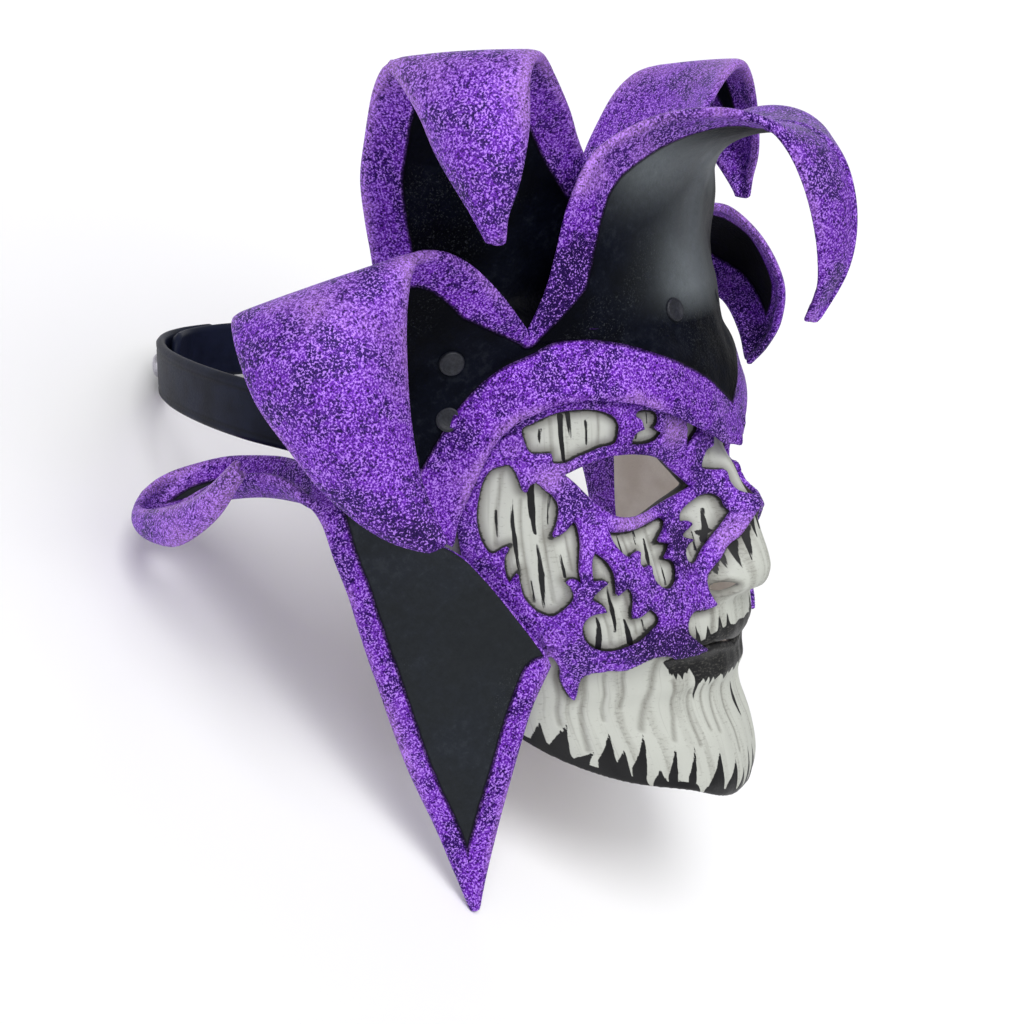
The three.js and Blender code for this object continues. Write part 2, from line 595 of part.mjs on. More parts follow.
// A side point stands up from the temple, folds outward over its crest and hangs down
const SIDE_POINT = {
  near: [...NOTCH_RIB, [62.5, 80, 73], [57, 89, 82.5], [52, 97.5, 86.5], [47.7, 105, 84.6],
    [47.2, 110, 75.9],
    [48.5, 114, 62.9], [51.6, 118, 44.7], [56.3, 121, 29.2], [61.8, 122, 18.3], [65.1, 122, 13.1]],
  spine: [onHat(85, 24), onHat(94, 35), [43.5, 80, 43.5], [37, 86.5, 53.5], [31.5, 96, 63.8],
    [28.5, 107, 73.5], [28, 121, 77.5],
    [32, 132, 70], [38.5, 135, 57], [44, 135, 43], [50, 131.5, 28.5], [57, 127.5, 17.5],
    [63.7, 123.4, 12.3]],
  far: [onHat(92.5, 0), onHat(103, 10.6), [20, 89, 24], [12, 98, 35], [6, 107, 47], [2, 118, 60],
    [6, 128, 69],
    [12, 134, 62], [18.3, 136, 50.5], [26.7, 136, 40.4], [36.9, 133, 27], [50, 129, 16.5],
    [62.2, 124, 11.9]],
  corners: [2],
};

// The left side point is curled further forward than the right one
const LEFT_SIDE_POINT = {
  near: [...NOTCH_RIB, [63.5, 79, 72], [60.5, 88, 80.5], [58, 96.5, 85], [60, 104, 86.5],
    [68, 109, 85.5],
    [79, 113, 74], [86, 115.5, 58.5], [84.5, 118, 45], [79, 119.5, 35], [73.5, 120, 28.8]],
  spine: [...SIDE_POINT.spine.slice(0, 3), [37.5, 86.5, 53.5], [33.5, 96, 63.5], [33, 106.5, 73],
    [36, 120.5, 78.5],
    [46, 131, 78], [60, 134.5, 71.5], [71, 134, 59.5], [76.5, 130, 48], [76.5, 126, 38],
    [73.3, 121.3, 29]],
  far: [...SIDE_POINT.far.slice(0, 4), [6.5, 107, 47], [4.5, 117, 59], [12, 127, 68],
    [22, 133, 67.5],
    [36, 136.3, 63], [49, 134.8, 56.5], [60.5, 131.5, 50.5], [68.5, 127, 39.5], [72.8, 122, 29.5]],
  corners: [2],
};

// A rear point rises behind the middle one, folds outward over its crest and hangs down
const REAR_LOW = 48;
const REAR_SIDE = 98;
// Its root lies close to the head in front, and stands out at the sides to meet the side points
const REAR_LEAN = 0.2;
const REAR_FLARE = 6;
const rearOff = (side, up) => REAR_OFF + REAR_LEAN * (up - REAR_LOW) + REAR_FLARE * (side / REAR_SIDE) ** 6;
const rearPlace = (side, up) => onFace(side, up, rearOff(side, up)).toArray();
const REAR_NOTCH = [84, 0, 78];
const REAR_POINT = {
  near: [rearPlace(0, REAR_LOW), rearPlace(0, REAR_LOW + 14), REAR_NOTCH, [80.5, 14, 88], [76.5, 29, 98],
    [74, 41, 107.5],
    [73.5, 50, 115.5], [75, 62, 124.5], [76, 75, 133.3], [77.4, 87, 138.6], [77.6, 96, 134.5],
    [78.8, 100, 120.9],
    [78, 104, 108.2], [75.5, 106, 99.2], [74.6, 106, 92.7]],
  spine: [rearPlace(52, REAR_LOW), rearPlace(52, REAR_LOW + 14), [64, 48, 72], [62, 51, 82],
    [60, 57, 92], [58, 64, 103],
    [56.5, 71, 113], [56, 80, 124], [56, 88, 133], [57, 97, 138], [60, 104, 134], [65, 108, 123.5],
    [69, 109.5, 112],
    [72, 108.5, 101], [73.8, 106.8, 92.6]],
  far: [rearPlace(REAR_SIDE, REAR_LOW), rearPlace(REAR_SIDE, REAR_LOW + 10), [20.5, 76, 66],
    [20.5, 76, 74], [20, 77, 83],
    [19.4, 79.5, 94], [20.5, 83.5, 106], [24.5, 87.5, 118], [29.5, 92, 129], [36, 97, 135.6],
    [42.5, 100.5, 135.4],
    [51.7, 104, 125.9], [58.1, 105, 114.3], [67.3, 106, 101.6], [73, 106.3, 93.4]],
  corners: [2],
};
function rearRoot(share, t) {
  const side = ((1 - share) / 2) * REAR_SIDE;
  const up = REAR_LOW + 12 * t;
  return onFace(side, up, rearOff(side, up));
}

// A jaw piece starts at the tip of its scroll. The scroll runs back, turns round at the
// rear and comes forward to the ear. The piece then widens over the cheek and ends in a
// long point below the jaw.
const JAW_PIECE = {
  near: [[-5, 113, 25.5], [-18, 113.5, 14.5], [-37, 107, 7], [-53, 97, 3.4], [-59, 86, 5.5],
    [-59.5, 78, 8.3],
    [-55, 70, 11.5], [-44, 66, 14.9], [-33, 66, 16.6], [-19, 70, 18], [-4, 78, 18], [10, 84, 15],
    [28, 85.5, 6],
    [46.5, 80.5, -2.5], [54.6, 78, -10], [62.5, 74, -21], [70, 68, -34], [71.8, 66, -39.3], [66.5, 68, -53],
    [62.8, 71, -68.9], [59.8, 76, -86], [57, 80, -102.9], [55, 82, -115.5]],
  spine: [[-5, 113.8, 24.8], [-16, 115.5, 12.5], [-33, 111, 3.5], [-48.5, 102, 0.5], [-57.5, 90, 1],
    [-58.5, 80, 2],
    [-53, 75.5, 3.5], [-43, 74, 6], [-32, 75.5, 8.5], [-19, 78, 10.5], [-6, 82.5, 11.5], [6, 88.5, 12],
    [19, 91, 7.5],
    [30, 89.5, -3], [37, 87.5, -12.5], [43, 85, -24], [48.5, 81.5, -35], [50.5, 80.5, -41], [50, 81, -54],
    [50, 81.5, -70], [51.5, 82, -87], [52.5, 82.5, -103.5], [53.8, 82.3, -116]],
  far: [[-5.5, 113, 24], [-14, 114, 11], [-28, 111, 1], [-41.5, 104, -1.1], [-52, 94, -1.5],
    [-54, 87, 0], [-50, 84, 3],
    [-40, 85, 9], [-29, 87, 14], [-16, 88.5, 17.5], [-5, 90, 17.2], [4, 92.5, 13.5], [10.5, 94, 6],
    [14.5, 94, -5],
    [18.5, 93, -16], [21.5, 92, -27], [24, 91, -36], [26, 90.5, -42], [30, 89, -56], [35, 87, -72],
    [42, 84.5, -89],
    [47.4, 82.8, -104], [52.5, 82, -116.5]],
  corners: [17],
};
const JAW_STATIONS = [...steps(0, 3, 1), ...steps(3.5, 9, 2), ...steps(10, 22, 1)];

// The strap's two ends run round the back of the head and overlap there. Its front end lies
// on the face's side, below the hat.
const STRAP_FRONT = [[95, 22.5], [103, 24.5], [115, 27.5]];
const STRAP_ROUND = [[-3, 81, 32], [-31, 75, 34], [-60, 60, 35]];
const STRAP_OUTER = [...STRAP_ROUND, [-85, 40.5, 35.5], [-101.5, 20, 36], [-107, 0, 36], [-101.5, -20, 36]];
const STRAP_INNER = [...STRAP_ROUND, [-82, 39, 35.5], [-97.5, 18.8, 36], [-102.8, 0, 36],
  [-97.5, -18.8, 36]];

function strap(stations) {
  const edge = (rise) => through([
    ...STRAP_FRONT.map(([side, up]) => onFace(side, up + rise, STRAP_OFF).toArray()),
    ...stations.map(([forward, right, up]) => [forward, right, up + rise]),
  ]);
  const [upper, lower] = [edge(STRAP_WIDTH / 2), edge(-STRAP_WIDTH / 2)];
  const rows = [...steps(0, 3, 1), ...steps(3.5, STRAP_FRONT.length + stations.length - 1, 2)];
  return rows.map((t) => [worn(upper(t)), worn(lower(t))]);
}

// The pieces

const pieces = new THREE.Group();

function addPiece(name, geometry, finish) {
  const mesh = new THREE.Mesh(geometry, new THREE.MeshStandardMaterial(finish));
  mesh.name = name;
  pieces.add(mesh);
}

// Stations are closer where a sheet bends
const SIDE_STATIONS = [...steps(0, 2, 2), 3, 4, ...steps(4.5, 8, 2), ...steps(9, 12, 1)];
const MIDDLE_STATIONS = [...steps(0, 2, 2), ...steps(3, 6, 1), ...steps(7, 12, 2), 13, 14];
const REAR_STATIONS = [...steps(0, 8, 1), ...steps(8.5, 11, 2), ...steps(12, 14, 1)];
const sideGrid = (point) => curl(point, SIDE_STATIONS, 6, templeRoot);
const middleGrid = curl(MIDDLE_POINT, MIDDLE_STATIONS, 8, middleRoot);
const rearGrid = curl(REAR_POINT, REAR_STATIONS, 4, rearRoot);
const jawGrid = curl(JAW_PIECE, JAW_STATIONS, 4);
const jaw = (hand) => sheet([handed(jawGrid, hand)], HAT_THICK, [20, 2]);
const strapEnd = (stations, hand) => sheet([handed(strap(stations), hand)], STRAP_THICK, [4, 0]);

const faceHoles = [stampBoth(EYE), stamp(SLIT), stampBoth(NOSTRIL)];
const overlayHoles = [stampBoth(EYE), ...TORN.map(tornOpening)];

const leather = {
  face: mouldedSheet(-FACE_THICK, 0, FACE_ROWS, (flat) => without(flat, faceHoles)),
  overlay: mouldedSheet(OVERLAY_GAP, OVERLAY_OFF, OVERLAY_ROWS, (flat) => (
    without(flat.intersect(overlayOutline()), overlayHoles)
  )),
  hat_front: sheet([
    middleGrid, handed(sideGrid(SIDE_POINT), RIGHT), handed(sideGrid(LEFT_SIDE_POINT), LEFT),
  ], HAT_THICK),
  hat_rear: sheet([handed(rearGrid, RIGHT), handed(rearGrid, LEFT)], HAT_THICK),
  jaw_right: jaw(RIGHT),
  jaw_left: jaw(LEFT),
  strap_right: strapEnd(STRAP_OUTER, RIGHT),
  strap_left: strapEnd(STRAP_INNER, LEFT),
};
const leatherFinish = {
  face: BONE,
  overlay: PURPLE,
  hat_front: BLACK,
  hat_rear: BLACK,
  jaw_right: BLACK,
  jaw_left: BLACK,
  strap_right: NAVY,
  strap_left: NAVY,
};

for (const [word, hand] of [['right', RIGHT], ['left', LEFT]]) {
  for (const rivet of RIVETS) {
    const place = seat(rivet, word, hand);
    addPiece(`${rivet.name}_${word}`, rivetGeometry(rivet.cap, place), rivet.finish);
    drill(place);
  }
}
const snapPlace = seat(SNAP, 'right', RIGHT);
addPiece('strap_snap', rivetGeometry(SNAP.cap, snapPlace), SILVER);
drill(snapPlace);

for (const [name, finish] of Object.entries(leatherFinish)) addPiece(name, leather[name], finish);

// The mask lies down. It leans back until the strap rests beside the two jaw points. Its
// lowest point is at height 0, and it is centred.

const [tipForward, , tipUp] = JAW_PIECE.far.at(-1);
const [backForward, , backUp] = STRAP_OUTER.at(-2);
pieces.rotation.x = -Math.atan2(backUp - STRAP_WIDTH / 2 - tipUp, tipForward - backForward);
const box = new THREE.Box3().setFromObject(pieces, true);
const centre = box.getCenter(new THREE.Vector3());
pieces.position.set(-centre.x, -centre.y, -box.min.z);

const mask = new THREE.Group();
mask.add(pieces);

export default mask;
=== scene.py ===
# %% [markdown]
# # A leather jester mask
# The mask is six sorts of thing: a moulded bone white face, a torn purple leather over it,
# a hat cut from two leathers whose five points are curled, two jaw pieces, a strap, and the
# rivets. It has no joint, so everything rides on the one body, "root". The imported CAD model
# is the frame that everything below is fitted to.

# %% Load the frame
import bpy
import numpy as np
from mathutils import Matrix


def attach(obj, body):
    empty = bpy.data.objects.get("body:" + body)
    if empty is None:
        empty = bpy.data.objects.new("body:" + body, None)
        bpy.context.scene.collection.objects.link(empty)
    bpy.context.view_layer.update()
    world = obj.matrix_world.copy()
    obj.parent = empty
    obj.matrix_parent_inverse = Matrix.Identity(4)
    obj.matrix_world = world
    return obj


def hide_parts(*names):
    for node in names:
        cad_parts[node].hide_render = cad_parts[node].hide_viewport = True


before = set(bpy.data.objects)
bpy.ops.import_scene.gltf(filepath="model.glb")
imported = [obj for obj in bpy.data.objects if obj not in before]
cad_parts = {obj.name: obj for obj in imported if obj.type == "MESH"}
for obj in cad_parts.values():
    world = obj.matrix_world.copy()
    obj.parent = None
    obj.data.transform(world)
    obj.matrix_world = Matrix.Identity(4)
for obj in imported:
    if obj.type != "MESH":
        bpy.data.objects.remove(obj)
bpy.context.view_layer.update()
scene = bpy.context.scene

# %% [markdown]
# ## How the mask lies
# Leather is cut and moulded for a head, so places on the mask are simplest as a wearer
# feels them: how far forward, how far to the wearer's right and how far up, in millimetres
# from the middle of the head at eye level. The loose mask lies on its two jaw tips and its
# strap. One function leans worn places back onto the table and gives metres.

# %% From worn places to the table
MM = 0.001
STRAP_WIDTH = 19
JAW_TIP = (52.5, -116.5)  # forward and up
STRAP_BACK = (-107, 36)
LEAN = np.arctan2(STRAP_BACK[1] - STRAP_WIDTH / 2 - JAW_TIP[1], JAW_TIP[0] - STRAP_BACK[0])
SHIFT = np.array([0, 19.551, 51.696])  # puts the box's underside on the origin


def leaned(worn):
    """Directions: x is minus rightward, y and z are forward and upward turned by LEAN."""
    forward, right, up = np.moveaxis(np.asarray(worn, float), -1, 0)
    sin, cos = np.sin(LEAN), np.cos(LEAN)
    return np.stack([-right, up * sin - forward * cos, forward * sin + up * cos], -1)


def lying(worn):
    """Places: the leaned direction, moved by SHIFT, in metres."""
    return (leaned(worn) + SHIFT) * MM


print("the mask leans back by", round(float(np.degrees(LEAN)), 2), "degrees")

# %% [markdown]
# ## The camera
# The photograph looks at the wearer's right cheek from a little above. The same camera is
# carried along with the mask as it lies down, so the mask fills the picture as it does in
# the photograph and only the ground and the light are different.

# %% Camera
CAMERA_TURN = np.radians(25)  # from straight at the right ear towards the face
CAMERA_RISE = np.radians(14)
CAMERA_AWAY = 600
FOCAL_PIXELS = 1710
PICTURE = 1024
SENSOR = 36
AIM_RIGHT, AIM_DOWN = 26, 13
SEES_TO = 20  # metres

back = np.array([np.sin(CAMERA_TURN) * np.cos(CAMERA_RISE), np.cos(CAMERA_TURN) * np.cos(CAMERA_RISE),
                 np.sin(CAMERA_RISE)])
right = np.array([np.cos(CAMERA_TURN), -np.sin(CAMERA_TURN), 0])
up = np.cross(right, back)  # forward, rightward and upward make a left-handed frame
eye = AIM_RIGHT * right - [0, 0, AIM_DOWN] + CAMERA_AWAY * back

camera = bpy.data.objects.new("camera", bpy.data.cameras.new("camera"))
camera.data.sensor_width = SENSOR
camera.data.lens = SENSOR * FOCAL_PIXELS / PICTURE
camera.data.clip_end = SEES_TO
turn = np.stack([leaned(right), leaned(up), leaned(back)], 1)
camera.matrix_world = Matrix.Translation(lying(eye)) @ Matrix(turn.tolist()).to_4x4()
scene.collection.objects.link(camera)
scene.camera = camera
print("camera", [round(x, 3) for x in camera.location], "lens", round(camera.data.lens, 1), "mm")

# %% [markdown]
# ## Shader maths
# A finish is a formula worked out at every point of a surface. A small class wraps a
# shader socket, so that a formula is written as a sum is in Python, and each operator adds
# its Math node. Colours and directions go through Mix and Vector Math nodes.

# %% A socket that Python can reckon with
class Wire:
    """One value of a shader: + - * and a few functions each add a Math node."""

    def __init__(self, finish, socket):
        self.finish, self.socket = finish, socket

    def maths(self, operation, *others):
        return self.finish.node("ShaderNodeMath", {"operation": operation},
                                dict(enumerate((self, *others))))

    def __add__(self, other):
        return self.maths("ADD", other)

    __radd__ = __add__

    def __mul__(self, other):
        return self.maths("MULTIPLY", other)

    __rmul__ = __mul__

    def __sub__(self, other):
        return self.maths("SUBTRACT", other)

    def __rsub__(self, other):
        return self * -1 + other

    def __abs__(self):
        return self.maths("ABSOLUTE")

    def most(self, other):
        return self.maths("MAXIMUM", other)

    def rise(self, low, high):
        """0 below low, 1 above high, smooth between. low may be above high."""
        return self.finish.node(
            "ShaderNodeMapRange", {"interpolation_type": "SMOOTHSTEP"},
            {"Value": self, "From Min": low, "From Max": high, "To Min": 0.0, "To Max": 1.0})


class Finish:
    """A material and its nodes, with one Principled shader. A Mix node has sockets for
    numbers, directions and colours, and the colour ones come last."""

    COLOUR_MIX_INPUTS, COLOUR_MIX_OUTPUT = (0, 6, 7), 2

    def __init__(self, name, **constants):
        self.material = bpy.data.materials.new(name)
        self.material.use_nodes = True
        self.tree = self.material.node_tree
        self.shader = self.tree.nodes["Principled BSDF"]
        for socket, value in constants.items():
            self.shader.inputs[socket.replace("_", " ")].default_value = value

    def node(self, kind, settings=None, inputs=None, out=0):
        """Any node: its settings first, then the values or links of its sockets."""
        made = self.tree.nodes.new(kind)
        for key, value in (settings or {}).items():
            setattr(made, key, value)
        for key, value in (inputs or {}).items():
            self.feed(made.inputs[key], value)
        return Wire(self, made.outputs[out])

    def feed(self, socket, value):
        if isinstance(value, Wire):
            self.tree.links.new(value.socket, socket)
        elif isinstance(value, tuple) and socket.type == "RGBA" and len(value) == 3:
            socket.default_value = (*value, 1)
        else:
            socket.default_value = value

    def attribute(self, name, out="Fac"):
        return self.node("ShaderNodeAttribute", {"attribute_name": name}, out=out)

    def place(self, stretch=(1, 1, 1)):
        """Object coordinates in millimetres, each axis multiplied by a stretch."""
        spot = self.node("ShaderNodeTexCoord", out="Object")
        scale = tuple(s / MM for s in stretch)
        return self.node("ShaderNodeVectorMath", {"operation": "MULTIPLY"}, {0: spot, 1: scale})

    def noise(self, spot, size, detail=2.0, rough=0.5):
        """Cloudy noise about 0.5, whose blobs are about this size in millimetres."""
        return self.node("ShaderNodeTexNoise", None, {
            "Vector": spot, "Scale": 1 / size, "Detail": detail, "Roughness": rough})

    def mix(self, share, first, second):
        """A colour: the first where share is 0, the second where it is 1."""
        made = self.tree.nodes.new("ShaderNodeMix")
        made.data_type = "RGBA"
        made.clamp_factor = True
        for key, value in zip(self.COLOUR_MIX_INPUTS, (share, first, second)):
            self.feed(made.inputs[key], value)
        return Wire(self, made.outputs[self.COLOUR_MIX_OUTPUT])

    def bump(self, height, distance, strength):
        """Tilts the surface as a height in millimetres times a distance would."""
        return self.node("ShaderNodeBump", None, {
            "Height": height, "Distance": distance * MM, "Strength": strength})

    def wear(self, **sockets):
        for name, value in sockets.items():
            self.feed(self.shader.inputs[name.replace("_", " ")], value)
        return self


# %% [markdown]
# ## Floor and light
# The photograph is taken in a white box: a pale ground, and big soft lights from above and
# from the camera's side. Sun lights as wide as a hazy sky do the same, with no edge that
# could fall on the ground, and a pale world fills the shadows.

# %% Floor
FLOOR_HALF = 6.0
FLOOR_DROP = 0.0002  # keeps the floor clear of what lies on it
floor_mesh = bpy.data.meshes.new("floor")
corners = [(-1, -1), (1, -1), (1, 1), (-1, 1)]
floor_mesh.from_pydata([(x * FLOOR_HALF, y * FLOOR_HALF, -FLOOR_DROP) for x, y in corners], [],
                       [(0, 1, 2, 3)])
floor = bpy.data.objects.new("floor", floor_mesh)
scene.collection.objects.link(floor)
paper = Finish("pale_ground", Roughness=0.9)
paper.wear(Base_Color=paper.mix(paper.noise(paper.place(), 400), (0.93, 0.93, 0.94), (0.96, 0.96, 0.97)))
floor_mesh.materials.append(paper.material)


# %% Light
# Each light's worn place that it shines from, its spread and its strength
LIGHTS = {
    "key_light": ((600, 450, 900), 35, 1.5),
    "cheek_light": ((300, 1000, 300), 60, 0.7),
    "front_light": ((1000, 100, 350), 45, 0.6),
    "far_light": ((-300, -900, 600), 60, 0.5),
}
WORLD_STRENGTH = 0.4


def softbox(name, worn_from, spread, strength):
    """A wide soft light from far away, from the direction of a worn place. The spread is the
    angle that it fills, in degrees."""
    light = bpy.data.lights.new(name, "SUN")
    light.energy, light.angle = strength, np.radians(spread)
    lamp = bpy.data.objects.new(name, light)
    away = leaned(worn_from)
    away = away / np.linalg.norm(away)
    side = np.cross([0, 0, 1], away)
    side /= np.linalg.norm(side)
    lamp.matrix_world = Matrix(np.stack([side, np.cross(away, side), away], 1).tolist()).to_4x4()
    scene.collection.objects.link(lamp)


for name, (worn_from, spread, strength) in LIGHTS.items():
    softbox(name, worn_from, spread, strength)
world = bpy.data.worlds.new("white_room")
world.use_nodes = True
background = world.node_tree.nodes["Background"]
background.inputs["Color"].default_value = (1, 1, 1, 1)
background.inputs["Strength"].default_value = WORLD_STRENGTH
scene.world = world
scene.view_settings.view_transform = "Standard"  # whites and blacks as deep as in the photograph
print(len(LIGHTS), "lights")


# %% [markdown]
# ## Curves
# Edges of leather are drawn as a pattern cutter draws them, through a few points. The
# curve through them is smooth, apart from the points that are named as corners.

# %% Smooth curves
def cubic(x, start, leave, end, arrive):
    """The cubic from start (x = 0) to end (x = 1) that leaves and arrives with two slopes."""
    x2, x3 = x ** 2, x ** 3
    return ((2 * x3 - 3 * x2 + 1) * start + (x3 - 2 * x2 + x) * leave
            + (3 * x2 - 2 * x3) * end + (x3 - x2) * arrive)


def through(stations, corners=()):
    """A function of the station number t. Between stations k and k + 1 the curve is the
    cubic that has the stations' places and slopes, where a slope is half the step from the
    station before to the one after, or the whole step to the neighbour at ends and corners."""
    points = np.array(stations, float)
    last = len(points) - 1
    step = np.diff(points, axis=0)
    smooth = np.zeros_like(points)
    smooth[1:-1] = (points[2:] - points[:-2]) / 2
    sharp = np.isin(np.arange(last + 1), [0, last, *corners])[:, None]
    leave = np.where(sharp[:-1], step, smooth[:-1])
    arrive = np.where(sharp[1:], step, smooth[1:])

    def curve(t):
        t = np.asarray(t, float)
        k = np.clip(np.floor(t).astype(int), 0, last - 1)
        return cubic((t - k)[..., None], points[k], leave[k], points[k + 1], arrive[k])

    return curve


def profile(pairs):
    """A value that depends smoothly on one distance: the same cubic, between pairs of
    distance and value, whose slopes are worked out per millimetre."""
    place, value = np.array(pairs, float).T
    slope = np.gradient(value) / np.gradient(place)

    def at(distance):
        d = np.clip(distance, place[0], place[-1])
        k = np.clip(np.searchsorted(place, d) - 1, 0, len(place) - 2)
        h = place[k + 1] - place[k]
        return cubic((d - place[k]) / h, value[k], h * slope[k], value[k + 1], h * slope[k + 1])

    return at


def steps(first, last, count):
    return np.linspace(first, last, count + 1)


def bell(x, reach):
    """1 where x is 0, falling off to nothing over about two reaches."""
    return np.exp(-(x / reach) ** 2)


def rounded_edge(depth, radius):
    """How far a rounded edge has dropped, as a share of its radius: a quarter circle."""
    return 1 - np.sqrt(1 - ramp(depth, radius, 0) ** 2)


def ramp(x, low, high):
    """0 up to low, 1 from high on, straight between. low may be above high."""
    return np.clip((x - low) / (high - low), 0, 1)


def waves(points, size, seed, count=28):
    """Soft random relief between about -1 and 1: a sum of waves in random directions whose
    lengths are about a size. The seed fixes the directions, so each run gives the same."""
    chance = np.random.default_rng(seed)
    points = np.asarray(points, float)
    ways = chance.normal(size=(count, points.shape[-1]))
    ways *= (2 * np.pi / size * chance.uniform(0.6, 1.5, count) / np.linalg.norm(ways, axis=1))[:, None]
    return np.cos(points @ ways.T + chance.uniform(0, 2 * np.pi, count)).sum(-1) * np.sqrt(2 / count) / 1.6


# %% [markdown]
# ## The face's form
# A moulded face is a rounded shell. Places on it are given as on a paper pattern wrapped
# round it: a sideways distance and a height. For every height a profile says how far
# forward the middle reaches and how wide the face is. Nose, cheekbones, brows and eye
# sockets are soft swellings and hollows on top.

# %% Face form
WRAP_RADIUS = 75
MIDDLE_FORWARD = 15
FACE_TOP, CHIN_BOTTOM, FACE_SIDE = 45, -98.5, 97
front_at = profile([
    (-110, 108), (-98.5, 112), (-93, 115.5), (-85, 116.5), (-74, 114), (-65, 110), (-58.5, 108.5),
    (-53, 110), (-46, 109.5), (-40, 112), (-34, 112), (-28, 110.5), (-20, 106), (-8, 102.5),
    (4, 100.5), (20, 101.5), (35, 98.5), (52, 94), (60, 88), (70, 81), (80, 75), (90, 68)])
half_width_at = profile([
    (-110, 45), (-98, 50), (-80, 58.5), (-60, 66), (-40, 71), (-20, 75), (0, 77), (20, 77.5),
    (40, 75), (60, 70), (80, 61), (100, 45)])
nose_height_at = profile([
    (-40, 0), (-30, 0), (-27.5, 2), (-24.5, 9.5), (-20, 14), (-15, 15.3), (-7, 15), (2, 13.8),
    (8, 9.9), (14, 5.9), (21, 0.6), (30, 0), (60, 0)])
nose_width_at = profile([
    (-40, 14), (-28, 14), (-20, 13.5), (-10, 11), (0, 9), (10, 7.5), (21, 7)])
face_bottom_at = profile([
    (0, CHIN_BOTTOM), (20, -95), (37, -89.5), (56, -85), (67, -80.5), (76, -75), (83.5, -68),
    (92, -56), (98, -44)])
# Sideways place, height, reach sideways, reach in height, rise
SWELLINGS = [
    (13, -21, 5, 6, 3),  # nostril wings
    (36, 13, 20, 13, -7),  # eye sockets
    (55, -14, 18, 16, 4),  # cheekbones
    (40, 34, 26, 8, 2),  # brows
    (55, -52, 18, 14, -2),  # hollows below the cheeks
]


def face_point(side, height):
    """On the face's outer surface: an ellipse round the head, whose half width and front
    come from the profiles, plus a nose as a bell across, plus each swelling as a bell."""
    side, height = np.broadcast_arrays(np.asarray(side, float), np.asarray(height, float))
    angle = side / WRAP_RADIUS
    across = half_width_at(height) * np.sin(angle)
    nose = nose_height_at(height) * np.exp(-(np.abs(across / nose_width_at(height)) ** 2.2))
    ahead = MIDDLE_FORWARD + (front_at(height) - MIDDLE_FORWARD) * np.cos(angle) + nose
    rise = sum(size * np.exp(-(((np.abs(side) - at) / wide) ** 2) - ((height - level) / tall) ** 2)
               for at, level, wide, tall, size in SWELLINGS)
    return np.stack([ahead + rise * np.cos(angle), across + rise * np.sin(angle), height], -1)


def unit(vectors):
    return vectors / np.maximum(np.linalg.norm(vectors, axis=-1, keepdims=True), 1e-9)


def face_normal(side, height, reach=0.5):
    """Straight out of the face: square to a short step sideways and a short step up."""
    across = face_point(side + reach, height) - face_point(side - reach, height)
    along = face_point(side, height + reach) - face_point(side, height - reach)
    return unit(np.cross(across, along))


def on_face(side, height, off):
    return face_point(side, height) + face_normal(side, height) * np.asarray(off)[..., None]


print("nose tip", np.round(face_point(0, -17), 1), "normal", np.round(face_normal(0, -17), 2))

# %% [markdown]
# ## From a sheet to leather
# Each leather is first a thin sheet of triangles, the outer skin. Leather has a thickness,
# so a second skin lies below it and a rounded rim joins the two. The same function does
# this for every piece, from the boundary edges that it finds.

# %% Sheets
def weld(points, triangles, grain=0.02):
    """Joins points that share a place, to the nearest grain, and drops empty triangles."""
    _, first, new = np.unique(np.round(points / grain), axis=0, return_index=True, return_inverse=True)
    triangles = new.reshape(-1)[triangles]
    full = ((triangles[:, 0] != triangles[:, 1]) & (triangles[:, 1] != triangles[:, 2])
            & (triangles[:, 2] != triangles[:, 0]))
    return first, triangles[full]


def grid_triangles(rows, columns, start=0):
    """Two triangles for each cell of a grid, numbered row by row."""
    ids = np.arange(rows * columns).reshape(rows, columns) + start
    a, b, c, d = (part.ravel() for part in (ids[:-1, :-1], ids[:-1, 1:], ids[1:, 1:], ids[1:, :-1]))
    return np.concatenate([np.stack([a, b, c], 1), np.stack([a, c, d], 1)])


def point_normals(points, triangles):
    """At each point, the sum of the directions of its triangles, by their areas."""
    a, b, c = (points[triangles[:, k]] for k in range(3))
    area = np.cross(b - a, c - a)
    total = np.zeros_like(points)
    for k in range(3):
        np.add.at(total, triangles[:, k], area)
    return unit(total)


def boundary(triangles, count):
    """Directed edges that only one triangle has."""
    edges = np.concatenate([triangles[:, [0, 1]], triangles[:, [1, 2]], triangles[:, [2, 0]]])
    there = edges[:, 0].astype(np.int64) * count + edges[:, 1]
    back_again = edges[:, 1].astype(np.int64) * count + edges[:, 0]
    return edges[~np.isin(there, back_again)]


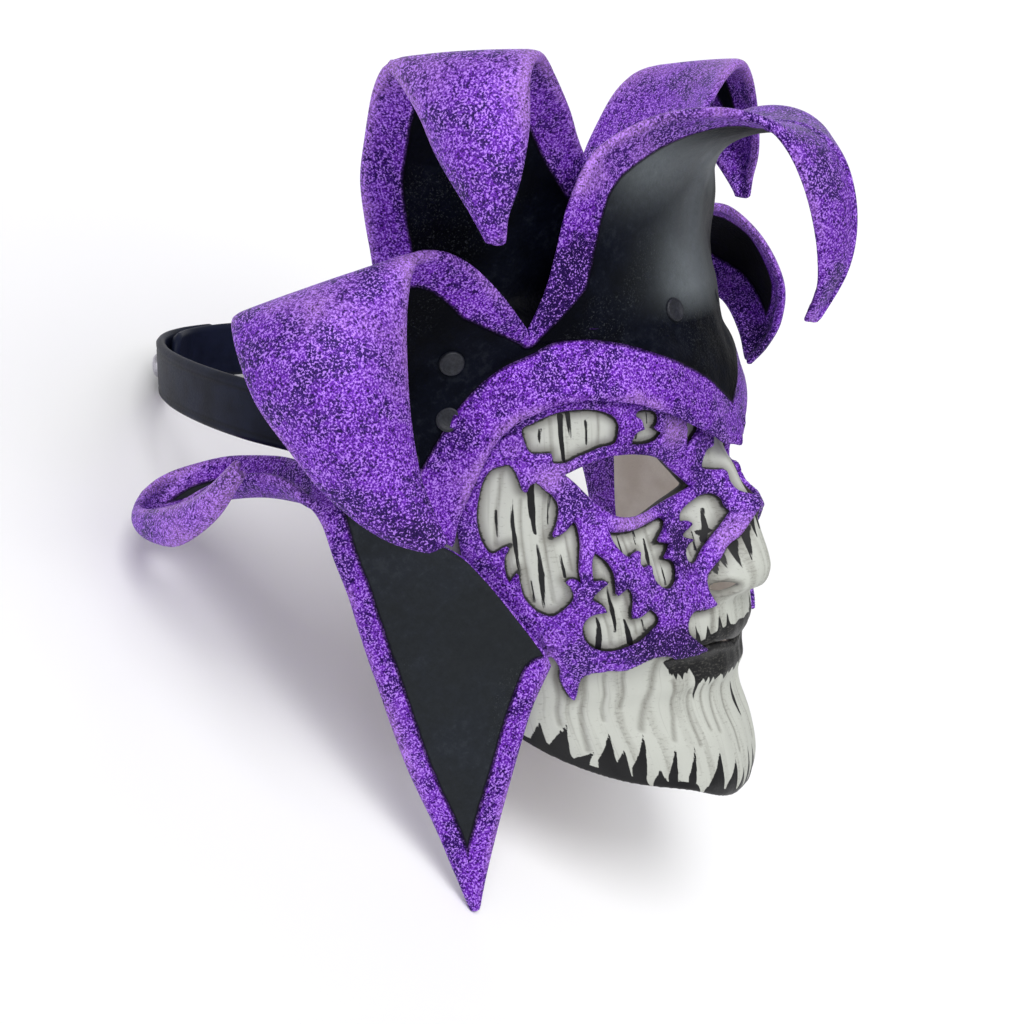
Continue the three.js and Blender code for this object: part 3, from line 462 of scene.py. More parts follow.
def leather_solid(outer, inner, triangles, bulge=0.7, rounds=3):
    """The outer skin, the inner skin turned over, and between their edges a rim of a few
    rings that stand out by a half wave of the bulge. Gives points, triangles, and for each
    point and triangle the number of the outer point it comes from and the skin: 0 outer,
    1 rim, 2 inner."""
    count = len(outer)
    edge = boundary(triangles, count)
    normals = unit(outer - inner)
    along = unit(outer[edge[:, 1]] - outer[edge[:, 0]])
    out = np.zeros_like(outer)
    for end in (0, 1):
        np.add.at(out, edge[:, end], np.cross(along, normals[edge[:, end]]))
    loop = np.unique(edge)
    out = unit(out[loop])
    rings = []
    for k in range(1, rounds + 1):
        share = k / (rounds + 1)
        middle = outer[loop] * (1 - share) + inner[loop] * share
        rings.append(middle + out * bulge * np.sin(np.pi * share))
    points = np.concatenate([outer, inner, *rings])
    rank = np.zeros(count, int)
    rank[loop] = np.arange(len(loop))
    chain = [edge] + [2 * count + k * len(loop) + rank[edge] for k in range(rounds)] + [edge + count]
    walls = []
    for upper, lower in zip(chain, chain[1:]):
        walls.append(np.stack([upper[:, 1], upper[:, 0], lower[:, 0]], 1))
        walls.append(np.stack([upper[:, 1], lower[:, 0], lower[:, 1]], 1))
    parts = [triangles, *walls, triangles[:, ::-1] + count]
    skin = np.concatenate([np.zeros(len(triangles), int), np.ones(sum(map(len, walls)), int),
                           np.full(len(triangles), 2)])
    source = np.concatenate([np.arange(count), np.arange(count), *[loop] * rounds])
    return points, np.concatenate(parts), source, skin


def nearest(points, targets, chunk=2000):
    """Each point's distance to the nearest target."""
    found = [np.sqrt(((points[k:k + chunk, None] - targets[None]) ** 2).sum(-1).min(1))
             for k in range(0, len(points), chunk)]
    return np.concatenate(found)


def set_down(name, mesh, slot, nodes, finishes, sharp_angle=50):
    """An object of a mesh, shaded smooth up to the sharp angle in degrees, riding on the root
    and standing for its CAD nodes."""
    mesh.validate()
    mesh.shade_smooth()
    mesh.set_sharp_from_angle(angle=np.radians(sharp_angle))
    for finish in finishes:
        mesh.materials.append(finish.material)
    piece = bpy.data.objects.new(name, mesh)
    scene.collection.objects.link(piece)
    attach(piece, "root")
    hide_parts(*nodes)


def add_piece(name, points, triangles, slot, nodes, finishes, attributes, material_of=None):
    """A piece from worn points. Each attribute holds a number or a direction for every
    point, and material_of holds the number of each triangle's finish."""
    mesh = bpy.data.meshes.new(name)
    mesh.vertices.add(len(points))
    place = lying(points)
    place[:, 2] = np.maximum(place[:, 2], 0)  # pressed flat where it rests on the table
    mesh.vertices.foreach_set("co", place.astype(np.float32).ravel())
    mesh.loops.add(3 * len(triangles))
    mesh.loops.foreach_set("vertex_index", triangles.astype(np.int32).ravel())
    mesh.polygons.add(len(triangles))
    mesh.polygons.foreach_set("loop_start", np.arange(0, 3 * len(triangles), 3, dtype=np.int32))
    if material_of is not None:
        mesh.polygons.foreach_set("material_index", material_of.astype(np.int32))
    for key, values in attributes.items():
        flat = values.ndim == 1
        layer = mesh.attributes.new(key, "FLOAT" if flat else "FLOAT_VECTOR", "POINT")
        layer.data.foreach_set("value" if flat else "vector", values.astype(np.float32).ravel())
    mesh.update(calc_edges=True)
    set_down(name, mesh, slot, nodes, finishes)
    print(name, len(triangles), "triangles")


# %% [markdown]
# ## Cutting a pattern
# The face and the torn leather have outlines with many openings. An outline is written as
# a field: how deep inside the leather a place is, below zero in an opening. A fine grid of
# triangles is then cut where the field passes zero, as scissors follow a drawn line.

# %% Fields
def inside(points, outline, reach=6.0):
    """Distance to the nearest side of a closed outline, above zero within it. A place is
    within if a line from it to the right crosses the sides an odd number of times. Places
    further than the reach from the outline's box get minus the reach."""
    outline = np.asarray(outline, float)
    result = np.full(len(points), -reach)
    chosen = ((points > outline.min(0) - reach) & (points < outline.max(0) + reach)).all(1)
    some = points[chosen]
    least = np.full(len(some), np.inf)
    crossed = np.zeros(len(some), bool)
    for p, q in zip(outline, np.roll(outline, -1, axis=0)):
        d = q - p
        share = np.clip(((some - p) @ d) / max(d @ d, 1e-12), 0, 1)
        least = np.minimum(least, ((some - p - share[:, None] * d) ** 2).sum(-1))
        if p[1] != q[1]:
            spans = (p[1] > some[:, 1]) != (q[1] > some[:, 1])
            crossed ^= spans & (some[:, 0] < p[0] + (some[:, 1] - p[1]) * d[0] / d[1])
    result[chosen] = np.sqrt(least) * np.where(crossed, 1, -1)
    return result


def closed(stations, parts=5):
    """Points of a smooth closed outline through stations of a side and a height. A third
    number marks a station as a corner, and the outline starts at one."""
    start = max([k for k, station in enumerate(stations) if len(station) == 3][:1], default=0)
    ring = [*stations[start:], *stations[:start], stations[start]]
    corners = [k for k, station in enumerate(ring) if len(station) == 3]
    curve = through([station[:2] for station in ring], corners)
    return curve(steps(0, len(ring) - 1, (len(ring) - 1) * parts))[:-1]


def lobe(points, side, height, half_wide, half_tall, tilt=0):
    """Depth inside an ellipse, nearly: k (1 - k) divided by the slope of k, where k is the
    ellipse's own radius measure."""
    turn = np.radians(tilt)
    x, y = points[:, 0] - side, points[:, 1] - height
    x, y = x * np.cos(turn) + y * np.sin(turn), y * np.cos(turn) - x * np.sin(turn)
    k = np.hypot(x / half_wide, y / half_tall)
    slope = np.hypot(x / half_wide ** 2, y / half_tall ** 2)
    return k * (1 - k) / np.maximum(slope, 1e-6)


def stroke(points, *path):
    """Depth inside a tapered stroke: half the width at the nearest place of its path, less
    the distance from it. Each place of the path has a side, a height and a width."""
    depth = np.full(len(points), -1e3)
    for a, b in zip(np.array(path[:-1], float), np.array(path[1:], float)):
        d = b[:2] - a[:2]
        share = np.clip((points - a[:2]) @ d / (d @ d), 0, 1)
        gap = np.hypot(*(points - a[:2] - share[:, None] * d).T)
        depth = np.maximum(depth, (a[2] + (b[2] - a[2]) * share) / 2 - gap)
    return depth


def both(points):
    """The same place on the right: outlines are drawn for one side and hold for both."""
    return np.stack([np.abs(points[:, 0]), points[:, 1]], -1)


def cut_pattern(sides, heights, field, snap=0.35):
    """Triangles of a flat grid where the field is above zero. Points near the cut move onto
    it, down the field's slope. A triangle that still crosses it loses its corner: the new
    points lie on its edges, where a straight line through the two values passes zero."""
    cell = sides[1] - sides[0]
    flat = np.stack(np.meshgrid(sides, heights), -1).reshape(-1, 2)
    value = field(flat)
    value, flat = to_zero(flat, value, field, np.abs(value) < snap * cell)
    triangles = grid_triangles(len(heights), len(sides))
    sign = np.sign(value).astype(int)[triangles]
    kept = triangles[(sign.max(1) > 0) & (sign.min(1) >= 0)]
    mixed = triangles[(sign.max(1) > 0) & (sign.min(1) < 0)]
    after = np.roll(mixed, -1, axis=1)
    crossing = np.sign(value)[mixed] * np.sign(value)[after] < 0
    pairs = np.sort(np.stack([mixed, after], -1), -1)
    code = pairs[..., 0].astype(np.int64) * len(flat) + pairs[..., 1]
    used, number = np.unique(code[crossing], return_inverse=True)
    a, b = used // len(flat), used % len(flat)
    share = (value[a] / (value[a] - value[b]))[:, None]
    added = flat[a] * (1 - share) + flat[b] * share
    _, added = to_zero(added, field(added), field, np.ones(len(added), bool))
    edge_ids = np.full(mixed.shape, -1)
    edge_ids[crossing] = number.reshape(-1) + len(flat)
    corner_ids = np.where(sign[(sign.max(1) > 0) & (sign.min(1) < 0)] >= 0, mixed, -1)
    ring = np.stack([corner_ids, edge_ids], -1).reshape(-1, 6)
    ring = np.take_along_axis(ring, np.argsort(ring < 0, axis=1, kind="stable"), 1)[:, :4]
    fours = ring[ring[:, 3] >= 0]
    triangles = np.concatenate([kept, ring[:, [0, 1, 2]], fours[:, [0, 2, 3]]])
    flat = np.concatenate([flat, added])
    used, triangles = np.unique(triangles, return_inverse=True)
    return flat[used], triangles.reshape(-1, 3)


def to_zero(flat, value, field, chosen):
    """Moves the chosen points down the field's slope onto zero, in two steps."""
    flat, value = flat.copy(), value.copy()
    some = flat[chosen]
    reach = 0.05
    for _ in range(2):
        slope = np.stack([field(some + step) - field(some - step)
                          for step in ([reach, 0], [0, reach])], -1) / (2 * reach)
        move = field(some)[:, None] * slope / np.maximum((slope ** 2).sum(-1), 0.4)[:, None]
        some = some - np.clip(move, -0.5, 0.5)
    flat[chosen], value[chosen] = some, 0
    return value, flat


# %% [markdown]
# ## Purple paint
# The borders and the torn leather carry a glittering purple paint: violet flakes, some
# nearly lilac, over a deep blue violet that shows in the hollows. Flakes are a very fine
# noise. Their light comes from metal in the paint, so it is partly metallic. A further
# value paints a paler lilac sheen on the purple, a painted highlight, and a dark violet
# painted shade.

# %% Purple finish
# Deep, violet and lilac paint, and a paler lilac for painted sheen
DEEP, VIOLET, LILAC, PALE_SHEEN_LILAC = (0.045, 0.01, 0.17), (0.16, 0.028, 0.47), (0.52, 0.26, 0.95), (0.33, 0.17, 0.46)
# Dark pits between the flakes, and a dark violet for painted shade
PIT, SHADE_VIOLET = (0.012, 0.003, 0.05), (0.018, 0.006, 0.07)
PAINT_METAL = 0.3


def purple_paint(finish, sheen_and_shade=0.0):
    """Colour: deep to violet by clouds, lilac where the fine flakes are bright and nearly
    black between them, a paler lilac painted sheen where the sheen and shade value is high,
    and a dark violet painted shade where it is far below zero. Gives the colour, the
    roughness and the height of the grain."""
    spot = finish.place()
    clouds = finish.noise(spot, 12, 3.0, 0.6)
    flakes = finish.noise(spot, 0.58, 1.0, 0.6)
    grain = finish.noise(spot, 1.5, 3.0, 0.7)
    colour = finish.mix((clouds + grain * 0.3 - 0.15).rise(0.38, 0.58), DEEP, VIOLET)
    # A paler lilac: painted sheen, and in a few places a paler tone by clouds
    colour = finish.mix((sheen_and_shade + clouds * 0.9 + grain * 0.3 - 0.6).rise(0.0, 0.5) * 0.8, colour, PALE_SHEEN_LILAC)
    # A dark violet: painted shade
    colour = finish.mix((0 - sheen_and_shade).rise(0.35, 0.8) * 0.85, colour, SHADE_VIOLET)
    colour = finish.mix((flakes + grain * 0.3 - 0.15 + sheen_and_shade * 0.06).rise(0.52, 0.62) * 0.85, colour, LILAC)
    pits = (flakes + grain * 0.5 - 0.25 + sheen_and_shade * 0.1).rise(0.47, 0.3)
    colour = finish.mix(pits * 0.9, colour, PIT)
    return colour, 0.34 + grain * 0.3, grain * 0.6 + flakes * 0.5


purple = Finish("glitter_purple", Metallic=PAINT_METAL, Specular_IOR_Level=0.15)
colour, rough, height = purple_paint(purple, purple.attribute("sheen_and_shade"))
purple.wear(Base_Color=colour, Roughness=rough, Normal=purple.bump(height, 0.4, 0.9))

# %% [markdown]
# ## Black leather with its purple border
# The outer side of the hat and the jaw pieces is waxed black leather inside a purple
# border. A tooled groove divides them. The "panel" attribute is how far a point lies inside
# the black, in millimetres, so the groove is where it passes zero. A further attribute is
# how much a painted reflection greys the black to a satin grey.

# %% Black finish
# The bloom is the grey of wax in the pores and of the painted reflection
INK, SHEEN, WAX_BLOOM_AND_REFLECTION = (0.0004, 0.0008, 0.0026), (0.0022, 0.0034, 0.009), (0.2, 0.225, 0.24)
GROOVE = (0.004, 0.002, 0.01)


def black_leather(finish, painted_reflection):
    """Near black, bluer where wax clouds it, with a fine pebble, and in places specks where
    the wax has filled the pores. Where its reflection value is high, a painted reflection
    turns it a satin grey."""
    spot = finish.place()
    wax = finish.noise(spot, 26, 3.0, 0.6)
    pebble = finish.node("ShaderNodeTexVoronoi", {"feature": "F1"}, {
        "Vector": spot, "Scale": 1 / 1.1, "Randomness": 1.0})
    scuff = finish.noise(spot, 2.4, 4.0, 0.75)
    speckled = finish.noise(spot, 34, 2.0).rise(0.52, 0.62)
    specks = finish.noise(spot, 0.7, 2.0, 0.8).rise(0.56, 0.66) * speckled
    colour = finish.mix((wax + scuff * 0.35 - 0.17).rise(0.4, 0.7), INK, SHEEN)
    colour = finish.mix((scuff * wax).rise(0.3, 0.42) * 0.03 + specks * 0.14, colour, WAX_BLOOM_AND_REFLECTION)
    # Painted reflection: a satin grey where the light would be reflected
    colour = finish.mix(painted_reflection * (0.7 + scuff * 0.6), colour, WAX_BLOOM_AND_REFLECTION)
    rough = 0.36 + scuff * 0.3
    return colour, rough, pebble * 0.35 + scuff * 0.9 - specks * 0.6


outer = Finish("black_panel_purple_border", Specular_IOR_Level=0.05)
panel = outer.attribute("panel")
paint, paint_rough, paint_height = purple_paint(outer, outer.attribute("sheen_and_shade"))
wax, wax_rough, wax_height = black_leather(outer, outer.attribute("painted_reflection"))
wobble = outer.noise(outer.place(), 3.5) * 0.9 - 0.45
inside_black = (panel + wobble).rise(-0.15, 0.35)
groove = abs(panel + wobble * 0.5).rise(0.9, 0.2)
colour = outer.mix(inside_black, paint, wax)
colour = outer.mix(groove * 0.8, colour, GROOVE)
outer.wear(
    Base_Color=colour,
    Roughness=paint_rough + (wax_rough - paint_rough) * inside_black,
    Metallic=(1 - inside_black) * PAINT_METAL,
    Normal=outer.bump(paint_height * (1 - inside_black) + wax_height * inside_black - groove * 1.6,
                      0.35, 0.8))

# %% [markdown]
# ## Bone paint
# The face is painted bone white, shaded with soft vertical washes of grey brown, and drawn
# on with a black brush. "ink" is how deep a point lies inside a brush stroke, and a noise
# that is drawn out along the strokes frays it. "chart" holds the sideways distance and the
# height on the face, so that washes and bristle marks run down it. "lining" is how deep a
# point lies below the torn leather. Along its edges the bone is outlined in black, partly
# black paint and partly a painted shadow, with a wider painted shade in umber beside it.

# %% Bone finish
BONE, SHADE = (0.52, 0.535, 0.49), (0.25, 0.245, 0.215)
UMBER, BRUSH = (0.1, 0.09, 0.075), (0.003, 0.003, 0.004)
bone = Finish("bone_paint", Metallic=0.0, Specular_IOR_Level=0.35)
chart = bone.attribute("chart", out="Vector")


def drawn_out(finish, vector, across, along):
    """The face's chart, in blobs that are across wide and along high."""
    return finish.node("ShaderNodeVectorMath", {"operation": "MULTIPLY"},
                       {0: vector, 1: (1 / across, 1 / along, 1 / across)})


wash = bone.noise(drawn_out(bone, chart, 5, 70), 1, 2.0)
grainy = bone.noise(drawn_out(bone, chart, 1.6, 0.7), 1, 3.0, 0.7)
bristle = bone.noise(drawn_out(bone, chart, 0.6, 7), 1, 3.0, 0.7)
cloud = bone.noise(bone.place(), 11, 3.0)
fold = bone.attribute("fold")
lines = bone.noise(drawn_out(bone, chart, 0.9, 40), 1, 2.0, 0.6)
colour = bone.mix((wash + cloud * 0.35 - 0.17).rise(0.5, 0.72) * 0.35, BONE, SHADE)
colour = bone.mix((lines + wash * 0.3 - 0.15).rise(0.58, 0.7) * 0.16, colour, UMBER)
# Painted shade in umber along the folds and round the nostrils
colour = bone.mix((fold + grainy * 0.3 - 0.15).rise(0.1, 1.1) * 0.55, colour, UMBER)
colour = bone.mix((grainy + wash * 0.5).rise(0.82, 0.95) * 0.3, colour, UMBER)
inked = (bone.attribute("ink") + (bristle - 0.5) * 0.8).rise(-0.1, 0.12)
# A black line along the torn leather's edges: partly black paint, partly a painted shadow
edge_line_and_shadow = (bone.attribute("lining") + (grainy + cloud - 1) * 1.2).rise(-0.75, -0.2) * 0.9
# Painted shade in umber on the bone beside the torn leather's edges
colour = bone.mix(bone.attribute("lining").rise(-3.6, -0.2) * 0.6, colour, UMBER)
speckled = grainy.rise(0.5, 0.68) * bone.attribute("lips").rise(0.3, 1.2)
brush = bone.mix(speckled * 0.3, BRUSH, SHADE)
colour = bone.mix(inked.most(edge_line_and_shadow), colour, brush)
bone.wear(
    Base_Color=colour,
    Roughness=0.45 + grainy * 0.2 - inked * 0.1,
    Normal=bone.bump(wash * 0.8 + grainy * 0.2 + bristle * inked * 0.4, 0.4, 0.6))

lining = Finish("raw_lining", Metallic=0.0)
spot = lining.place()
fibre = lining.noise(spot, 0.8, 4.0, 0.7)
stain = lining.noise(spot, 18, 3.0)
colour = lining.mix(stain.rise(0.35, 0.65), (0.6, 0.54, 0.46), (0.74, 0.69, 0.61))
lining.wear(Base_Color=lining.mix(fibre * 0.4, colour, (0.42, 0.36, 0.3)), Roughness=0.75 + fibre * 0.2,
            Normal=lining.bump(fibre, 0.4, 0.6))

# %% [markdown]
# ## Openings of the face
# The face is one leather pressed over a form, with almond eyes, nostrils and a slit between
# the lips. Outlines are drawn for the right half, and hold for both.

# %% Openings of the face
EYE = closed([
    (63.3, 19.5, 1), (59, 21.4), (55, 22.9), (50, 24.2), (44, 24.4), (39, 23.8), (33.6, 22.6), (28.8, 20.4),
    (25.2, 17.5), (20.4, 13.6), (15.4, 9.3, 1), (19.4, 7.8), (24.6, 6.2), (30, 4.4), (35, 3), (40.4, 2.5),
    (45.2, 3.2), (48.8, 5.2), (53.9, 9.8), (60.2, 16.6)])
SLIT_HALF, SLIT_HEIGHT = 40, 1.8
NOSTRIL = (15.2, -22.5, 3.6, 2)  # side, height, half width, half height
NOSTRIL_SHADE = 2.4
slit_middle_at = profile([(0, -45), (6, -44), (12, -42.6), (20, -41.7), (30, -41.6), (42, -42.6)])


def slit_depth(points):
    """Depth inside the slit: half its height, which shrinks to its ends, less the distance
    from its middle line."""
    taper = np.sqrt(np.clip(1 - (points[:, 0] / SLIT_HALF) ** 2, 0, 1)) * SLIT_HEIGHT / 2
    beyond = np.maximum(np.abs(points[:, 0]) - SLIT_HALF, 0)
    return taper - np.abs(points[:, 1] - slit_middle_at(np.abs(points[:, 0]))) - beyond


def face_field(points):
    """Depth inside the face's leather: within its four edges and outside its openings."""
    near = both(points)
    slope = (face_bottom_at(near[:, 0] + 0.5) - face_bottom_at(near[:, 0] - 0.5))
    low = (points[:, 1] - face_bottom_at(near[:, 0])) / np.sqrt(1 + slope ** 2)
    edges = [FACE_TOP - points[:, 1], FACE_SIDE - near[:, 0], low]
    holes = [inside(near, EYE), slit_depth(points), lobe(near, *NOSTRIL)]
    return np.minimum.reduce([*edges, *[-hole for hole in holes]])


# %% [markdown]
# ## Torn openings
# The overlay is cut open in ragged tears, from the brow down to the cheek. Between the
# rounded lobes of a tear, pointed fangs of leather are left standing.

# %% Torn openings of the overlay
# Each opening by its stations, and a third number marks the sharp tips of its fangs
TORN = [closed(stations) for stations in [
    # Above the outer corner of the eye
    [(74, 33.2), (71.3, 34.8), (66.5, 36.9), (62.3, 38), (56, 38.2), (51.3, 37.4), (47.8, 35.6), (46.5, 33),
     (46.8, 30), (47.8, 27.7), (52.3, 26.9), (56, 25.6), (59.7, 24.3), (62.8, 22.9), (66.3, 22.9, 1),
     (66.6, 26.1, 1), (69.7, 26), (72.3, 26.4), (73.5, 29.3)],
    # The tall one on the cheekbone
    [(79.7, 22.7), (77.8, 22.9), (76.3, 20.8), (75.2, 17.7), (74.4, 15.3), (73.4, 14.5, 1), (72.6, 16.9, 1),
     (70.7, 17.4), (68.6, 15.3), (66, 12.9), (64.4, 9.8), (64.5, 6.1), (65.2, 3.5), (66.8, 0, 1),
     (63.9, 1.1), (61.8, 2.7), (60.2, 4.5, 1), (59.2, 2.7), (59.2, -1.8), (60.2, -6), (61, -9.7),
     (61, -14.4, 1), (61.8, -12.8), (63.4, -12.2), (64.9, -13.1, 1), (63.9, -14.7), (63.6, -17.6),
     (64.9, -19.9), (67.3, -22.1), (70.2, -23.9), (72.8, -23.4), (74.9, -21), (76.3, -17.6), (76.5, -13.9),
     (76.6, -11.8), (76.3, -9.7, 1), (77.8, -11.3), (79.3, -13.5, 1), (79.9, -10.2), (79.7, -6),
     (78.6, -3.6), (77.5, -1.7, 1), (79.7, -2.6), (82.1, -4.2), (83.4, -4.3, 1), (84.7, -1.8), (85.7, 1.9),
     (86.2, 7.2), (85.9, 12.4), (84.9, 17.7), (82.8, 21.4)],
    # The low one on the cheek
    [(56, -5.2, 1), (54.4, -6.5), (52.8, -8.6), (51.9, -11.8), (52.2, -14.9), (52.6, -18.4, 1), (50.7, -17.3),
     (48.9, -16.3, 1), (47.8, -18.6), (48.4, -21.8), (49.7, -24.4), (50.1, -26.3, 1), (47.1, -25.7),
     (44.2, -24.4), (42.4, -26.5), (42.8, -29), (45.5, -31), (48.6, -33.6), (52.8, -35.5), (57.1, -36.5),
     (60.2, -36), (62.8, -34.2), (64.2, -31.3), (64.1, -27.6), (62.3, -24.9), (59.7, -23.4),
     (56.5, -23.1, 1), (56.8, -21.3), (58.1, -19.9), (59.2, -18.9, 1), (58.4, -17.3), (56.5, -15.7),
     (54.2, -14.2, 1), (55.5, -13.3), (58, -13.4, 1), (57.8, -10.2), (57.1, -7.1)],
    # Below the eye
    [(50.4, -0.1, 1), (46.7, -0.7), (41.5, -0.9), (36.2, -0.1), (32, 0.7), (29.4, 1.2, 1), (28.3, -0.1),
     (29.9, -2.2), (32, -3.8), (34.4, -5.5, 1), (32, -5.9), (29.6, -6.7, 1), (30.9, -8.3),
     (33.6, -10.4, 1), (30.9, -11.4), (29.6, -12.7), (29.9, -15.4), (31.2, -18), (33.6, -19.6),
     (36.7, -19.3), (39.1, -16.9), (39.9, -14.3), (39.6, -11.2, 1), (42.5, -11.9, 1), (43.3, -10.1),
     (41.7, -6.4, 1), (44.6, -7.2), (46.2, -8.3, 1), (48.3, -6.4), (49.9, -3.3)],
    # Beside the nose
    [(15.2, 4.6), (12, 5.7), (8.8, 5.9), (7.3, 4.4), (7.3, 2), (6.7, 0.2, 1), (9.9, -4.3), (13.6, -8),
     (17.8, -11.4), (20.4, -13.8), (22.8, -14.3), (24.6, -12.7), (24.4, -10.1), (22.5, -8.5),
     (19.1, -7.4, 1), (22, -6.4), (24.1, -5.6, 1), (22.5, -4.6), (19.9, -3.7), (17.5, -2.7, 1),
     (19.9, -1.4), (23.1, -1.2, 1), (22, 0.9), (19.4, 2.8)],
    # The small one shaped like an hourglass
    [(41.7, 35.2, 1), (39.9, 36.5), (36.7, 36.5), (33.8, 35.7), (32.8, 34.1), (33.3, 32), (34.6, 31.2, 1),
     (32.3, 30), (30.7, 29.5, 1), (32.5, 27.5), (35.2, 26.5), (39.4, 26.5), (42.3, 27, 1), (42.3, 28.6),
     (41.2, 30.7), (38.2, 31.5, 1), (38.8, 32.3), (39.6, 34.1)],
    # The sliver beside the bridge of the nose
    [(21, 31.5), (20.8, 28), (20.4, 24.5), (20.2, 22, 1), (18, 24.3), (16.2, 26), (14.3, 27.6), (15, 30.5)],
    # The one across the bridge of the nose, of which this is the right half
    [(-2, 26, 1), (6, 25), (7.4, 21), (10.4, 20.6), (11.9, 18.8), (12.3, 16.2), (10.4, 14.4), (7.3, 13.5),
     (4.4, 12.8), (4.2, 9), (3, 5.5), (-2, 3, 1)],
]]
# Its lower edge, from the bridge of the nose round to the jaw piece, is sharp at the tips
LOWER_EDGE = [
    (0, 0.5, 1), (2.3, -0.9), (4.9, -4.6), (7, -7.5), (9.9, -10.1), (13.1, -13.8), (16.2, -16.2),
    (18.3, -18), (19.6, -20.1), (20.4, -23.3), (19.9, -25.9), (18.8, -26.9, 1), (20.4, -28), (24.6, -28.3),
    (29.4, -28), (32.3, -29.8), (33.3, -32.2), (32.3, -34.8), (29.9, -36.9), (27.3, -39.1),
    (24.6, -40.6, 1), (30.9, -41.2), (37.3, -41.2, 1), (38.8, -40.2), (43, -39.5), (46.5, -40.2),
    (49.7, -41.8), (52.3, -42.8), (57.1, -42.6), (61.8, -43.1), (63.9, -44.4), (64.7, -46.5),
    (65.7, -50.2), (66.8, -53.1, 1), (68.1, -51.8), (69.2, -48.6), (70.2, -44.9), (70.7, -41.8),
    (72.3, -38.1), (73.4, -37), (76, -38.5, 1)]
# Its upper and rear edges are hidden below the hat's band and the jaw piece
HIDDEN_EDGE = [(84, -28, 1), (90.5, -8, 1), (92, 12, 1), (86, 30, 1), (74, 41, 1), (58, 45, 1), (36, 42, 1),
               (20, 36, 1), (0, 27, 1), (-1, 27, 1), (-1, 0.5, 1)]
OVERLAY_OUTLINE = closed(LOWER_EDGE + HIDDEN_EDGE)


def torn_field(points):
    """Depth inside the torn openings: the deepest counts."""
    near = both(points)
    return np.maximum.reduce([inside(near, outline) for outline in TORN])


def overlay_field(points):
    """Depth inside the overlay's leather: within its outline, outside the eyes and tears."""
    near = both(points)
    return np.minimum.reduce([inside(near, OVERLAY_OUTLINE), -inside(near, EYE), -torn_field(points)])


# %% [markdown]
# ## Brush strokes
# The black on the bone is drawn in strokes that swell and taper, and in flames that rise
# from the chin's edge. Soft lines of shade follow the folds of the moulded leather.

# %% Brush strokes on the bone
# Each stroke's places: side, height and width, for the right side
STROKES = [
    [(68.9, 33, 1.0), (69.7, 28.2, 0.5)], [(63.1, 37, 1.6), (63.3, 30, 1.4), (62.9, 23, 1.0)],
    [(61, 38.4, 1.6), (60.8, 34, 1.1), (60.6, 29.8, 0.5)], [(55.9, 35, 0.9), (56.1, 27.7, 0.7)],
    [(72.4, 17.6, 2.4), (71.3, 7.7, 1.9), (70.7, 1.4, 0.9)], [(66.5, 13.5, 0.8), (66.9, 4, 0.6)],
    [(77, 12.4, 0.6), (76.4, 0.3, 1.4), (76.3, -11.8, 0.6)],
    [(70.4, -1.8, 0.6), (70.7, -11.3, 1.6), (72, -22, 0.7)], [(81.3, 8.7, 0.8), (80.7, 0.3, 0.7)],
    [(65.1, -5, 0.7), (64.6, -12, 1.0)], [(73.6, -13, 0.5), (74, -20, 0.8)],
    [(54.2, -15.5, 0.6), (54.4, -21.8, 1.3), (55.6, -30.5, 0.8)],
    [(59.4, -25.2, 0.7), (60.1, -31, 1.6), (60.6, -36, 2.0)],
    [(52.2, -26.8, 0.7), (51.9, -31, 1.5), (51.4, -35, 1.9)], [(47, -27.5, 0.6), (46.6, -31.5, 0.9)],
    [(40.2, 0, 1.1), (41.1, -4.8, 0.7)], [(37.5, -3.8, 0.8), (38.4, -9, 1.5), (39.1, -14.8, 0.6)],
    [(33.4, -11, 0.5), (34, -18.5, 0.9)], [(46.8, -1, 0.5), (47.2, -6.5, 0.7)],
    [(11.7, 1.3, 1.0), (12.8, -4.3, 1.6), (14.6, -8, 2.2)], [(15.7, -5.5, 1.4), (11.5, -5.5, 1.0)],
    [(17.2, -4, 0.5), (18.3, -10.5, 1.2)], [(39.4, 31.6, 0.9), (39.5, 28, 0.8)],
    [(36, 36, 0.5), (36.1, 32.5, 0.6)],
    # The nose's, which hang from the strap beside it
    [(2.8, -2.5, 1.8), (2.5, -8.5, 0.4)], [(5.2, -5, 2.6), (5.8, -10, 1.6), (6.2, -15.2, 0.4)],
    [(8.8, -9, 2.6), (9.3, -13, 1.5), (9.5, -17, 0.4)], [(12.4, -12.5, 2.2), (12.8, -16.8, 0.5)],
    [(15.2, -15, 2.4), (16.4, -18.6, 0.5)], [(0, -1, 1.6), (0.3, -6, 0.4)],
    # The middle of the chin
    [(0, -59.5, 0.8), (0.4, -65, 1.8), (0, -71, 0.6)],
]
